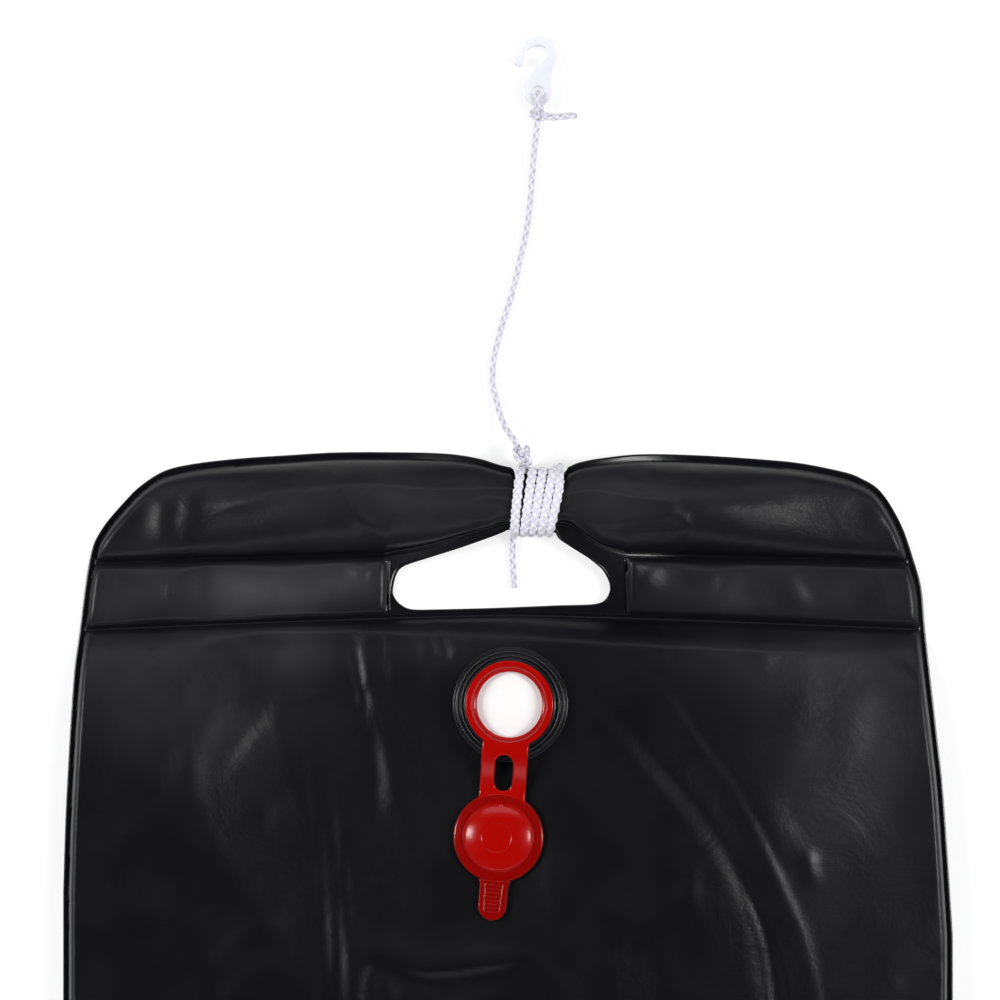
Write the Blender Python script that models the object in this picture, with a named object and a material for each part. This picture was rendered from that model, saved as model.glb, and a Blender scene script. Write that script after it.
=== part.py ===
"""Camp shower bag, laid flat on its back sheet.

+X is the bag's right, +Y points from its bottom edge to the hook, +Z is up. The origin is under the
middle of the bag, on the surface that it lies on. Sizes are in metres.
"""

import math

import bmesh
import bpy
import numpy as np
from mathutils import Matrix, Vector

MM = 0.001

# The bag's two sheets
BAG_WIDTH = 400 * MM
BAG_LENGTH = 600 * MM
SHEET = 0.5 * MM
GAP = 0.3 * MM
OVERRUN = 4 * MM
EDGE_FLANGE = 2.5 * MM
WELD_WIDTH = 3 * MM
SHOULDER_DEPTH = 197 * MM
BOTTOM_CORNER = 38 * MM

# Depths below the top edge, and how far the welds dip towards the sides
POCKET_DEPTH = 45 * MM
POCKET_DIP = 4.6 * MM
LOWER_WELD_DEPTH = 72.5 * MM
LOWER_WELD_DIP = 7.2 * MM
DIP_POWER = 1.25

# Heights of the puffed compartments
CHAMBER_HEIGHT = 13.7 * MM
CHAMBER_SHOULDER = 62 * MM
POCKET_END_HEIGHT = 7 * MM
POCKET_END_SHOULDER = 15 * MM
SIDE_POCKET_HEIGHT = 4 * MM
SIDE_POCKET_SHOULDER = 16 * MM

# The hand slot, measured from the bag's middle line and its top edge
SLOT_REACH = 52 * MM
SLOT_DEPTH = 71 * MM
SLOT_WELD_LEFT = 54 * MM
SLOT_WELD_RIGHT = 53 * MM

# The gathered handle and the stiff tube inside it
GATHER_MIDDLE = 12.5 * MM
GATHER_HALF = 12.8 * MM
GATHER_DEPTH = 22.1 * MM
GATHER_HALF_HEIGHT = 12.4 * MM
GATHER_FLARE = 5 * MM
TUBE_RADIUS = 6.7 * MM
TUBE_WALL = 1.5 * MM
TUBE_LENGTH = 148 * MM
TUBE_FADE = 30 * MM
LIFT_FADE = 62 * MM

# The cord
CORD = 3.2 * MM
WINDING_PITCH = 4.2 * MM
WINDING_TURNS = 4
WINDING_TOP_RIGHT = 22.6 * MM
FIRST_STRAND_GAP = 1.75 * MM
SECOND_LAYER = 3.9 * MM
KNOT_RADIUS = 3.6 * MM
HANDLE_KNOT = Vector((6.8, 311.4, 12.5)) * MM

# The filler, upright in its own frame with the ring's top face at zero
FILLER_X = 1.1 * MM
FILLER_DEPTH = 112.8 * MM
FILLER_PANEL_HEIGHT = 12 * MM
FILLER_LEAN_LEFT = math.radians(3.5)
FILLER_LEAN_UP = math.radians(2)
STRAP_YAW = math.radians(-5)
PLANE_REACH = 108 * MM
PLANE_REACH_UP = 32 * MM
PLANE_FADE = 40 * MM
NECK_HEIGHT = 5.6 * MM
FLANGE_THICKNESS = 1 * MM
FLANGE_RADIUS = 27.5 * MM
NECK_RADIUS = 20.7 * MM
NECK_BORE = 17 * MM
NECK_LIP_BORE = 16 * MM
NECK_LIP = 0.7 * MM
COLLAR_RIDGE = 1.1 * MM
PANEL_HOLE = 17.3 * MM
RING_RADIUS = 19.6 * MM
RING_BORE = 14.7 * MM
RING_RECESS = 17 * MM
RING_RECESS_DEPTH = 2.4 * MM
RING_HEIGHT = 3.4 * MM
SKIRT_WALL = 1 * MM
SKIRT_DEPTH = 5.2 * MM
SKIRT_BEAD = 16.5 * MM
EDGE_ROUND = 0.4 * MM

# The white non-return flap and the seat that carries it
FLAP_RADIUS = 15.4 * MM
FLAP_THICKNESS = 0.8 * MM
FLAP_HINGE_Y = 16.2 * MM
FLAP_TAB = 6 * MM
SEAT_INNER = 16 * MM
SEAT_OUTER = 16.7 * MM
SEAT_HEIGHT = 2 * MM

# The strap, the cap and its tab
STRAP_WIDTH = 20.6 * MM
STRAP_THICKNESS = 1.6 * MM
STRAP_SLOT_WIDTH = 8.2 * MM
STRAP_SLOT_LENGTH = 16.2 * MM
STRAP_SLOT_Y = -30.7 * MM
CAP_DISTANCE = 59.6 * MM
CAP_RADIUS = 20.2 * MM
CAP_THICKNESS = 1.8 * MM
CAP_LIE_GAP = 1 * MM
PLUG_RADIUS = 16 * MM
PLUG_SIDE = 1.5 * MM
DOME_HEIGHT = 2.8 * MM
CAP_WALL = 1.5 * MM
TAB_END = 96.8 * MM
TAB_WIDTH = 12.6 * MM
TAB_THICKNESS = 1.4 * MM

# The hang hook
HOOK_X = 13.5 * MM
HOOK_Y = 474.6 * MM
HOOK_REACH = 25.3 * MM
HOOK_THICKNESS = 3.4 * MM
HOOK_EYE = 2.8 * MM
HOOK_RIM = 6.2 * MM
HOOK_BEVEL = 0.5 * MM
EYE_HEIGHT = 4.7 * MM
LOOP_CORD = 3 * MM
LOOP_SQUARENESS = 0.65
HOOK_KNOT_RADIUS = 2.6 * MM

# The outlet tube at the bottom edge
OUTLET_RADIUS = 6 * MM
OUTLET_BORE = 4 * MM
OUTLET_INSIDE = 25 * MM
OUTLET_OUTSIDE = 25 * MM
OUTLET_BARB = 0.7 * MM
OUTLET_BARB_PITCH = 6 * MM
OUTLET_BARBS = 2
OUTLET_BARB_SHARE = 0.66
OUTLET_TENT = 22 * MM

# Grid steps and round counts
COLUMN_STEP = 24 * MM
ROW_STEP = 45 * MM
ROUND = 40
SMALL_ROUND = 24
KNOT_ROUND = 14
CORNER_STEPS = 6
END_STEPS = 8
STRAP_STEPS = 8
DOME_STEPS = 4
OUTLINE_STEPS = 2
SLOT_STEPS = 3
TURN_POINTS = 24
SHARP_ANGLE = math.radians(35)
BEVEL_ANGLE = math.radians(60)
WELD_DISTANCE = 0.003 * MM

# Places worked out from the sizes
TOP_Y = (BAG_LENGTH + OUTLET_OUTSIDE) / 2
HALF_WIDTH = BAG_WIDTH / 2
PAIR = 2 * SHEET + GAP
HANDLE_HALF_THICKNESS = TUBE_RADIUS + 2 * GAP + SHEET
HANDLE_HEIGHT = CORD + 2 * GAP + HANDLE_HALF_THICKNESS
GATHER_Y = TOP_Y - GATHER_DEPTH
GATHER_LIFT = HANDLE_HEIGHT - PAIR / 2
BACK_SAG = GATHER_LIFT - (HANDLE_HEIGHT - HANDLE_HALF_THICKNESS)
RING_STACK = NECK_HEIGHT + FLANGE_THICKNESS + RING_HEIGHT + GAP
FLAP_TOP = -(SKIRT_DEPTH + GAP)
CAP_FACE = -(RING_STACK - CAP_LIE_GAP - CAP_THICKNESS)
STRAP_DROP = -CAP_FACE - GAP
FOLD_Y = -CAP_DISTANCE / 2
FOLD_Z = -STRAP_DROP / 2
HOOK_TILT = math.asin((EYE_HEIGHT - HOOK_THICKNESS / 2) / HOOK_REACH)
OUTLET_TOP = SHEET + GAP + 2 * OUTLET_RADIUS + GAP + SHEET

# Shares of the half width across, and of the pocket's depth down
TOP_EDGE_SHARES = (
    (-0.77, 0.18), (-0.70, 0.11), (-0.60, 0.06), (-0.50, 0.03), (-0.38, 0.0), (-0.24, 0.0),
    (-0.15, 0.012), (-0.06, 0.07), (-0.018, 0.13), (0.0, 0.213), (0.06, 0.215), (0.125, 0.213),
    (0.143, 0.14), (0.162, 0.10), (0.21, 0.06), (0.30, 0.02), (0.43, 0.03), (0.57, 0.07),
    (0.66, 0.11), (0.75, 0.19), (0.79, 0.25),
)
# Shares of the half width across, and of the shoulder's depth down
LEFT_SIDE_SHARES = (
    (-1.0, 1.0), (-0.993, 0.79), (-0.977, 0.52), (-0.964, 0.416), (-0.941, 0.245), (-0.914, 0.176),
    (-0.858, 0.1075), (-0.822, 0.073),
)
RIGHT_SIDE_SHARES = (
    (0.838, 0.089), (0.883, 0.1625), (0.912, 0.245), (0.930, 0.3135), (0.939, 0.416), (0.966, 0.657),
    (0.980, 0.794), (1.0, 1.1),
)
# Shares of the slot's reach across, and of its depth down
SLOT_SHARES = (
    (-1.0, 0.87), (-0.97, 0.77), (-0.90, 0.715), (-0.70, 0.665), (-0.42, 0.60), (-0.15, 0.53),
    (-0.04, 0.498), (0.01, 0.482), (0.25, 0.481), (0.49, 0.482), (0.53, 0.55), (0.56, 0.60),
    (0.69, 0.66), (0.76, 0.70), (0.83, 0.75), (0.885, 0.84), (0.86, 0.915), (0.76, 0.96),
    (0.42, 0.97), (-0.07, 0.985), (-0.59, 0.995), (-0.83, 0.995), (-0.93, 0.965), (-0.985, 0.92),
)
# Shares of the slot's reach across, and of the pocket's depth down, of the handle's lower weld
HANDLE_FOOT_SHARES = (
    (-1.03, 1.01), (-0.70, 0.94), (-0.42, 0.85), (-0.14, 0.755), (-0.02, 0.715), (0.25, 0.71),
    (0.51, 0.715), (0.60, 0.78), (0.80, 0.93), (1.03, 1.02),
)
CROWN_ROW_SHARES = (0.0, 0.07, 0.2, 0.35, 0.5, 0.65, 0.8, 0.93, 1.0)
SIDE_POCKET_ROW_SHARES = (0.0, 0.2, 0.55, 0.85, 1.0)
CHAMBER_EDGE_SHARES = (0.0, 0.2, 0.55)
BACK_CHAMBER_SHARES = (0.0, 0.1, 0.4, 0.7)

# The collar's ridges: shares of the way in from the flange's edge to the neck, and of the ridges' height
COLLAR_SHARES = (
    (0.0, -0.35), (0.16, 0.0), (0.25, 0.5), (0.41, 0.5), (0.5, 0.0), (0.66, 0.0), (0.73, 1.0),
    (0.9, 1.0), (1.0, 1.4),
)

# The winding's start: turn round the handle, share of the way to the first turn, share of a second layer
WINDING_START_TURN = 118
WINDING_START = (
    (126, 0.07, 1.0), (133, 0.28, 1.0), (134, 0.51, 1.0), (132, 0.8, 1.0), (124, 0.965, 1.0),
    (113, 1.0, 0.9), (101, 1.0, 0.35),
)

# Shares of the hook's reach, from its eye: from the eye's right side over the crest to the tip and back
HOOK_SHARES = (
    (0.245, 0.0), (0.235, 0.12), (0.228, 0.27), (0.245, 0.36), (0.268, 0.45), (0.316, 0.54),
    (0.32, 0.68), (0.27, 0.875), (0.175, 0.962), (0.03, 1.0), (-0.11, 0.965), (-0.206, 0.89),
    (-0.27, 0.778), (-0.335, 0.665), (-0.42, 0.56), (-0.395, 0.49), (-0.33, 0.475), (-0.265, 0.51),
    (-0.25, 0.60), (-0.25, 0.68), (-0.19, 0.76), (-0.09, 0.83), (0.0, 0.85), (0.11, 0.81),
    (0.183, 0.715), (0.15, 0.62), (0.08, 0.535), (-0.02, 0.44), (-0.09, 0.35), (-0.17, 0.26),
    (-0.235, 0.16), (-0.245, 0.0),
)

# The cord's route in millimetres, from the handle's knot to the hook's
CORD_ROUTE = (
    (4.6, 314.9, 12.0), (2.9, 318.0, 10.4), (-1.1, 323.8, 6.8), (-3.3, 329.2, 4.0), (-4.9, 335.0, 2.2),
    (-6.5, 341.0, 1.7), (-7.0, 346.0, 1.7), (-6.1, 356.2, 1.7), (-2.5, 370.6, 1.7), (2.0, 385.0, 1.7),
    (5.0, 397.6, 1.7), (7.9, 410.3, 1.7), (9.9, 424.7, 1.7), (11.0, 439.1, 1.7), (12.2, 452.0, 1.8),
    (13.0, 458.5, 2.4), (13.4, 462.4, 3.0),
)
HANDLE_END_ROUTE = (
    (1.95, 276.1, 8.0), (1.95, 276.1, 6.0), (1.9, 275.3, 3.8), (1.7, 273.0, 2.2), (1.7, 269.6, 1.7),
    (2.0, 265.0, 1.7), (2.4, 258.4, 1.7), (2.9, 251.7, 1.7),
)
HOOK_END_ROUTE = (
    (16.5, 464.6, 3.1), (18.4, 463.8, 2.6), (21.0, 463.5, 2.0), (25.0, 464.0, 1.7), (31.0, 464.4, 1.7),
)


def clear_scene():
    """Remove whatever the open file holds."""
    for found in list(bpy.data.objects):
        bpy.data.objects.remove(found)


def material(name, colour, roughness, metallic=0.0):
    """A plain Principled material."""
    made = bpy.data.materials.new(name)
    made.use_nodes = True
    shader = made.node_tree.nodes["Principled BSDF"]
    shader.inputs["Base Color"].default_value = (*colour, 1)
    shader.inputs["Roughness"].default_value = roughness
    shader.inputs["Metallic"].default_value = metallic
    return made


def add_object(name, data, finish=None, parent=None, at=(0, 0, 0)):
    """Link an object with its material, placed in its parent's frame."""
    made = bpy.data.objects.new(name, data)
    bpy.context.collection.objects.link(made)
    made.parent = parent
    made.location = at
    if finish:
        data.materials.append(finish)
    return made


def add_mesh(name, shape, finish=None, parent=None, at=(0, 0, 0)):
    """Turn a bmesh into an object, with its faces pointing out."""
    bmesh.ops.recalc_face_normals(shape, faces=shape.faces)
    mesh = bpy.data.meshes.new(name)
    shape.to_mesh(mesh)
    shape.free()
    mesh.shade_smooth()
    mesh.set_sharp_from_angle(angle=SHARP_ANGLE)
    return add_object(name, mesh, finish, parent, at)


def add_frame(name, parent=None, at=(0, 0, 0), turn=None):
    """An empty that marks a joint's axis or carries a group of pieces."""
    made = bpy.data.objects.new(name, None)
    bpy.context.collection.objects.link(made)
    made.parent = parent
    made.matrix_local = Matrix.Translation(at) @ (turn or Matrix.Identity(4))
    return made


def boolean(target, cutter, operation):
    """Combine target with cutter, which stays as a hidden guide."""
    step = target.modifiers.new(cutter.name, "BOOLEAN")
    step.operation = operation
    step.solver = "EXACT"
    step.object = cutter
    cutter.hide_render = True
    cutter.display_type = "WIRE"


def smooth_line(points, steps, closed=False):
    """Points along a Catmull-Rom curve through the points given."""
    line = [Vector(p) for p in points]
    count = len(line)
    made = []
    for i in range(count if closed else count - 1):
        if closed:
            a, b, c, d = (line[(i + k) % count] for k in (-1, 0, 1, 2))
        else:
            b, c = line[i], line[i + 1]
            a = line[i - 1] if i else b + b - c
            d = line[i + 2] if i + 2 < count else c + c - b
        for k in range(steps):
            t = k / steps
            made.append(
                0.5 * (2 * b + (c - a) * t + (2 * a - 5 * b + 4 * c - d) * t**2
                       + (3 * b - a - 3 * c + d) * t**3)
            )
    if not closed:
        made.append(line[-1])
    return made


def even_line(points, spacing):
    """Points about one spacing apart along a smooth curve through the points given."""
    fine = np.array([tuple(p) for p in smooth_line(points, 24)])
    along = np.concatenate([[0], np.cumsum(np.linalg.norm(np.diff(fine, axis=0), axis=1))])
    count = max(2, round(along[-1] / spacing)) + 1
    at = np.linspace(0, along[-1], count)
    return [Vector([np.interp(s, along, fine[:, k]) for k in range(3)]) for s in at]


def arc(middle, radius, start, end, steps):
    """Points round an arc in the XY plane, its angles in degrees."""
    turns = [math.radians(start + (end - start) * k / steps) for k in range(steps + 1)]
    return [(middle[0] + radius * math.cos(t), middle[1] + radius * math.sin(t)) for t in turns]


def scaled(shares, across, down):
    """A table of shares as places: across the bag, and depth below its top edge."""
    return [(x * across, d * down) for x, d in shares]


def prism(name, outline, low, high):
    """A closed upright prism over an outline of (x, y) points."""
    shape = bmesh.new()
    rim = [shape.verts.new((x, y, low)) for x, y in outline]
    floor = shape.faces.new(rim)
    raised = bmesh.ops.extrude_face_region(shape, geom=[floor])
    top = [v for v in raised["geom"] if isinstance(v, bmesh.types.BMVert)]
    bmesh.ops.translate(shape, vec=(0, 0, high - low), verts=top)
    return add_mesh(name, shape)


def lathe(name, profile, finish=None, parent=None, at=(0, 0, 0), steps=ROUND):
    """Turn a closed profile of (radius, height) points about Z."""
    shape = bmesh.new()
    rim = [shape.verts.new((r, 0, z)) for r, z in profile]
    edges = [shape.edges.new((rim[i], rim[i - 1])) for i in range(len(rim))]
    bmesh.ops.spin(shape, geom=rim + edges, cent=(0, 0, 0), axis=(0, 0, 1), angle=2 * math.pi, steps=steps,
                   use_merge=True)
    bmesh.ops.remove_doubles(shape, verts=shape.verts, dist=WELD_DISTANCE)
    bmesh.ops.dissolve_degenerate(shape, edges=shape.edges, dist=WELD_DISTANCE)
    return add_mesh(name, shape, finish, parent, at)


def cord_tube(name, points, thick, finish, sides=2):
    """A capped round tube along the points."""
    curve = bpy.data.curves.new(name, "CURVE")
    curve.dimensions = "3D"
    curve.bevel_depth = thick / 2
    curve.bevel_resolution = sides
    curve.use_fill_caps = True
    line = curve.splines.new("POLY")
    line.points.add(len(points) - 1)
    for point, place in zip(line.points, points):
        point.co = (*place, 1)
    return add_object(name, curve, finish)


def bag_outline():
    """The bag's outline as (x, y) points, with its top edge dipping at the gathered handle."""
    left = scaled(LEFT_SIDE_SHARES, HALF_WIDTH, SHOULDER_DEPTH)
    top = scaled(TOP_EDGE_SHARES, HALF_WIDTH, POCKET_DEPTH)
    right = scaled(RIGHT_SIDE_SHARES, HALF_WIDTH, SHOULDER_DEPTH)
    places = [(x, d, 0) for x, d in left + top + right]
    upper = [(p.x, TOP_Y - p.y) for p in smooth_line(places, OUTLINE_STEPS)]
    across, up = HALF_WIDTH - BOTTOM_CORNER, TOP_Y - BAG_LENGTH + BOTTOM_CORNER
    right_corner = arc((across, up), BOTTOM_CORNER, 0, -90, CORNER_STEPS)
    return upper + right_corner + arc((-across, up), BOTTOM_CORNER, -90, -180, CORNER_STEPS)


def slot_outline():
    """The hand slot's outline as (x, y) points."""
    places = [(x, d, 0) for x, d in scaled(SLOT_SHARES, SLOT_REACH, SLOT_DEPTH)]
    return [(p.x, TOP_Y - p.y) for p in smooth_line(places, SLOT_STEPS, closed=True)]


def table_line(table):
    """A function that reads a smooth curve through a table of (x, value) places."""
    line = smooth_line([(x, value, 0) for x, value in table], 8)
    across, down = [p.x for p in line], [p.y for p in line]
    return lambda x: float(np.interp(x, across, down))


TOP_EDGE = table_line(scaled(TOP_EDGE_SHARES, HALF_WIDTH, POCKET_DEPTH))
HANDLE_FOOT = table_line(scaled(HANDLE_FOOT_SHARES, SLOT_REACH, POCKET_DEPTH))
OUTLINE = bag_outline()


def dip(x):
    """How much of a weld's dip there is at x, from 0 at the middle to 1 at the bag's side."""
    return min(abs(x) / HALF_WIDTH, 1) ** DIP_POWER


def pocket_foot(x):
    """Depth of the weld under the top pocket."""
    if -SLOT_WELD_LEFT < x < SLOT_WELD_RIGHT:
        return HANDLE_FOOT(x)
    return POCKET_DEPTH + POCKET_DIP * dip(x)


def lower_weld(x):
    """Depth of the weld above the water chamber."""
    return LOWER_WELD_DEPTH + LOWER_WELD_DIP * dip(x)


def ease(value):
    """0 below 0, 1 above 1, and smooth between."""
    value = min(max(value, 0.0), 1.0)
    return value * value * (3 - 2 * value)


def shoulder(distance, width):
    """The rounded rise of a puffed sheet, from 0 at its weld to 1 a width away."""
    share = min(max(distance / width, 0.0), 1.0)
    return math.sqrt(1 - (1 - share) ** 2)


def outline_distance(x, y):
    """Distance from a place to the bag's outline, 0 outside it."""
    a = np.array(OUTLINE)
    b = np.roll(a, -1, axis=0)
    p, run = np.array((x, y)), b - a
    t = np.clip(((p - a) * run).sum(1) / (run * run).sum(1), 0, 1)
    near = float(np.linalg.norm(p - a - t[:, None] * run, axis=1).min())
    crosses = (a[:, 1] > y) != (b[:, 1] > y)
    right = x < a[:, 0] + (y - a[:, 1]) / np.where(run[:, 1] == 0, 1, run[:, 1]) * run[:, 0]
    return near if (crosses & right).sum() % 2 else 0.0


def lift(x):
    """How far the gathered handle's welds stand off the surface."""
    away = abs(x - GATHER_MIDDLE) - GATHER_HALF
    return GATHER_LIFT * (1 - ease(away / LIFT_FADE))


def crown_height(x):
    """How far the front sheet rises over the top pocket's welds."""
    over_tube = HANDLE_HEIGHT + HANDLE_HALF_THICKNESS - PAIR - lift(x)
    beyond = ease((abs(x) - TUBE_LENGTH / 2 - GAP) / TUBE_FADE)
    return over_tube * (1 - beyond) + POCKET_END_HEIGHT * beyond


def crown(share):
    """The round section of the top pocket, from 0 at its upper weld to 0 at its lower weld."""
    return math.sqrt(max(0.0, 1 - (2 * share - 1) ** 2))


def filler_matrix():
    """Where the filler's frame stands: the ring's top face, on the leaning patch of the front sheet."""
    patch = Matrix.Translation((FILLER_X, TOP_Y - FILLER_DEPTH, FILLER_PANEL_HEIGHT))
    lean = Matrix.Rotation(-FILLER_LEAN_LEFT, 4, "Y") @ Matrix.Rotation(-FILLER_LEAN_UP, 4, "X")
    return patch @ lean @ Matrix.Rotation(STRAP_YAW, 4, "Z") @ Matrix.Translation((0, 0, RING_STACK))


FILLER_MATRIX = filler_matrix()


def chamber_height(x, depth):
    """Height of the front sheet's top over the water chamber."""
    y = TOP_Y - depth
    down = shoulder(depth - lower_weld(x) - WELD_WIDTH / 2, CHAMBER_SHOULDER)
    height = PAIR + CHAMBER_HEIGHT * down * shoulder(outline_distance(x, y) - EDGE_FLANGE, CHAMBER_SHOULDER)
    normal = FILLER_MATRIX.to_3x3() @ Vector((0, 0, 1))
    across, along = x - FILLER_X, y - (TOP_Y - FILLER_DEPTH)
    level = FILLER_PANEL_HEIGHT - (normal.x * across + normal.y * along) / normal.z
    place = FILLER_MATRIX.inverted() @ Vector((x, y, level))
    beyond = max(math.hypot(place.x, place.y) - PLANE_REACH, place.y - PLANE_REACH_UP)
    near = 1 - ease(beyond / PLANE_FADE)
    near *= ease((depth - lower_weld(x) - WELD_WIDTH / 2) / (FILLER_DEPTH - LOWER_WELD_DEPTH - FLANGE_RADIUS))
    height += (level - height) * near
    tent = (OUTLET_TOP + PAIR - SHEET) * (1 - ease((abs(x) - OUTLET_RADIUS) / OUTLET_TENT))
    over_tube = ease(1 - (BAG_LENGTH - OUTLET_INSIDE - depth) / CHAMBER_SHOULDER)
    return max(height, tent * over_tube)


def stations(marks, step):
    """Places from the first mark to the last, on every mark and at most a step apart."""
    marks = sorted(marks)
    made = [marks[0]]
    for low, high in zip(marks, marks[1:]):
        count = max(1, math.ceil((high - low) / step))
        made += [low + (high - low) * k / count for k in range(1, count + 1)]
    return made


def columns():
    """The sheet grid's places across the bag."""
    left, right = GATHER_MIDDLE - GATHER_HALF, GATHER_MIDDLE + GATHER_HALF
    marks = [-HALF_WIDTH - OVERRUN, -HALF_WIDTH + EDGE_FLANGE, HALF_WIDTH - EDGE_FLANGE, HALF_WIDTH + OVERRUN]
    marks += [-HALF_WIDTH + SIDE_POCKET_SHOULDER, HALF_WIDTH - SIDE_POCKET_SHOULDER]
    marks += [left, right, left - GATHER_FLARE, right + GATHER_FLARE, left - 2 * GATHER_FLARE]
    marks += [-TUBE_LENGTH / 2, TUBE_LENGTH / 2, -SLOT_WELD_LEFT, SLOT_WELD_RIGHT]
    marks += [-SLOT_WELD_LEFT - WELD_WIDTH, SLOT_WELD_RIGHT + WELD_WIDTH, right + 2 * GATHER_FLARE]
    return stations(marks, COLUMN_STEP)


def rows(fine):
    """The sheet grid's rows from the top, as (zone, share of the zone's depth)."""
    made = [("crown", -OVERRUN / POCKET_DEPTH)]
    made += [("crown", share) for share in CROWN_ROW_SHARES]
    made += [("side_pocket", share) for share in SIDE_POCKET_ROW_SHARES]
    length = BAG_LENGTH - LOWER_WELD_DEPTH
    if fine:
        first = FILLER_DEPTH - FLANGE_RADIUS - LOWER_WELD_DEPTH
        marks = [0, first, first + FLANGE_RADIUS, first + 2 * FLANGE_RADIUS, length, length + OVERRUN]
        marks += [length - EDGE_FLANGE, length - CHAMBER_SHOULDER * CHAMBER_EDGE_SHARES[2]]
        marks += [first * share for share in CHAMBER_EDGE_SHARES]
        made += [("chamber", place / length) for place in stations(marks, ROW_STEP)]
    else:
        made += [("chamber", share) for share in (*BACK_CHAMBER_SHARES, 1 + OVERRUN / length)]
    return made


def depth_at(x, zone, share):
    """Depth below the top edge of a grid row at x."""
    foot, weld = pocket_foot(x), lower_weld(x)
    if zone == "crown":
        start = TOP_EDGE(x) + EDGE_FLANGE
        return start + (foot - WELD_WIDTH / 2 - start) * share
    if zone == "side_pocket":
        return foot + WELD_WIDTH / 2 + (weld - foot - WELD_WIDTH) * share
    return weld + WELD_WIDTH / 2 + (BAG_LENGTH - weld - WELD_WIDTH / 2) * share


def front_height(x, zone, share):
    """Height of the front sheet's top face at a grid row."""
    depth = depth_at(x, zone, share)
    if zone == "chamber":
        return chamber_height(x, depth)
    edge = shoulder(outline_distance(x, TOP_Y - depth) - EDGE_FLANGE, POCKET_END_SHOULDER)
    if zone == "crown":
        inner = 1 - ease((abs(x) - TUBE_LENGTH / 2) / (2 * TUBE_FADE))
        round_top = crown(min(max(share, 0), 1)) * (inner + (1 - inner) * edge)
        return lift(x) + PAIR + crown_height(x) * round_top
    beside = max(-SLOT_WELD_LEFT - WELD_WIDTH / 2 - x, x - SLOT_WELD_RIGHT - WELD_WIDTH / 2)
    puff = shoulder(beside, SIDE_POCKET_SHOULDER) * edge * crown(share)
    return lift(x) * (1 - share) + PAIR + SIDE_POCKET_HEIGHT * puff


def back_height(x, zone, share):
    """Height of the back sheet's top face at a grid row."""
    if zone == "chamber":
        return SHEET
    if zone == "crown":
        return SHEET + lift(x) - min(BACK_SAG, lift(x)) * crown(min(max(share, 0), 1))
    return SHEET + lift(x) * (1 - share)


def sheet(name, height, fine, finish):
    """One sheet of the bag: a grid set to its height, thickened, and cut to the outline and the slot."""
    across, down = columns(), rows(fine)
    shape = bmesh.new()
    bmesh.ops.create_grid(shape, x_segments=len(across) - 1, y_segments=len(down) - 1, size=1)
    for vert in shape.verts:
        x = across[round((vert.co.x + 1) / 2 * (len(across) - 1))]
        zone, share = down[round((1 - vert.co.y) / 2 * (len(down) - 1))]
        vert.co = (x, TOP_Y - depth_at(x, zone, share), height(x, zone, share))
    made = add_mesh(name, shape, finish)
    if made.data.polygons[0].normal.z < 0:
        made.data.flip_normals()
    wall = made.modifiers.new("wall", "SOLIDIFY")
    wall.thickness = SHEET
    wall.offset = -1
    high = 2 * (HANDLE_HEIGHT + HANDLE_HALF_THICKNESS)
    boolean(made, prism(name + "_outline", OUTLINE, -high, high), "INTERSECT")
    boolean(made, prism(name + "_slot", slot_outline(), -high, high), "DIFFERENCE")
    return made


def front_panel(finish, filler):
    """The front sheet, with the hole that the filler's neck opens into."""
    made = sheet("front_panel", front_height, True, finish)
    low = -2 * RING_STACK
    profile = [(0, 0), (PANEL_HOLE, 0), (PANEL_HOLE, low), (0, low)]
    boolean(made, lathe("filler_hole", profile, parent=filler), "DIFFERENCE")
    return made


def handle_tube(finish):
    """The stiff tube that fills the top pocket behind the hand."""
    inner = TUBE_RADIUS - TUBE_WALL
    half = TUBE_LENGTH / 2
    profile = [(TUBE_RADIUS, -half), (TUBE_RADIUS, half), (inner, half), (inner, -half)]
    along_x = Matrix.Rotation(math.pi / 2, 4, "Y")
    axis = add_frame("handle_axis", at=(0, GATHER_Y, HANDLE_HEIGHT), turn=along_x)
    return lathe("handle_tube", profile, finish, axis, steps=SMALL_ROUND)


def filler_collar(finish, filler):
    """The moulded collar: welded flange, two round ridges and a neck with a lip."""
    foot = -RING_STACK + GAP
    face = foot + FLANGE_THICKNESS
    neck = face + NECK_HEIGHT - GAP
    ridges = [(FLANGE_RADIUS + (NECK_RADIUS - FLANGE_RADIUS) * inward, face + COLLAR_RIDGE * up)
              for inward, up in COLLAR_SHARES]
    profile = [(NECK_BORE, foot), (FLANGE_RADIUS, foot), *ridges] + [
        (NECK_RADIUS, neck - EDGE_ROUND), (NECK_RADIUS - EDGE_ROUND, neck), (NECK_LIP_BORE, neck),
        (NECK_LIP_BORE, neck - NECK_LIP), (NECK_BORE, neck - NECK_LIP),
    ]
    return lathe("filler_collar", profile, finish, filler)


def valve_seat(finish, filler):
    """The thin ring in the neck that the flap hinges on, notched for the flap's tab."""
    foot = FLAP_TOP - SEAT_HEIGHT
    profile = [(SEAT_INNER, foot), (SEAT_OUTER, foot), (SEAT_OUTER, FLAP_TOP), (SEAT_INNER, FLAP_TOP)]
    made = lathe("valve_seat", profile, finish, filler)
    half, inner, outer = FLAP_TAB / 2 + GAP, FLAP_RADIUS, SEAT_OUTER + OVERRUN
    outline = [(-half, inner), (half, inner), (half, outer), (-half, outer)]
    notch = prism("seat_notch", outline, FLAP_TOP - FLAP_THICKNESS - GAP, 0)
    notch.parent = filler
    boolean(made, notch, "DIFFERENCE")
    return made


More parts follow.
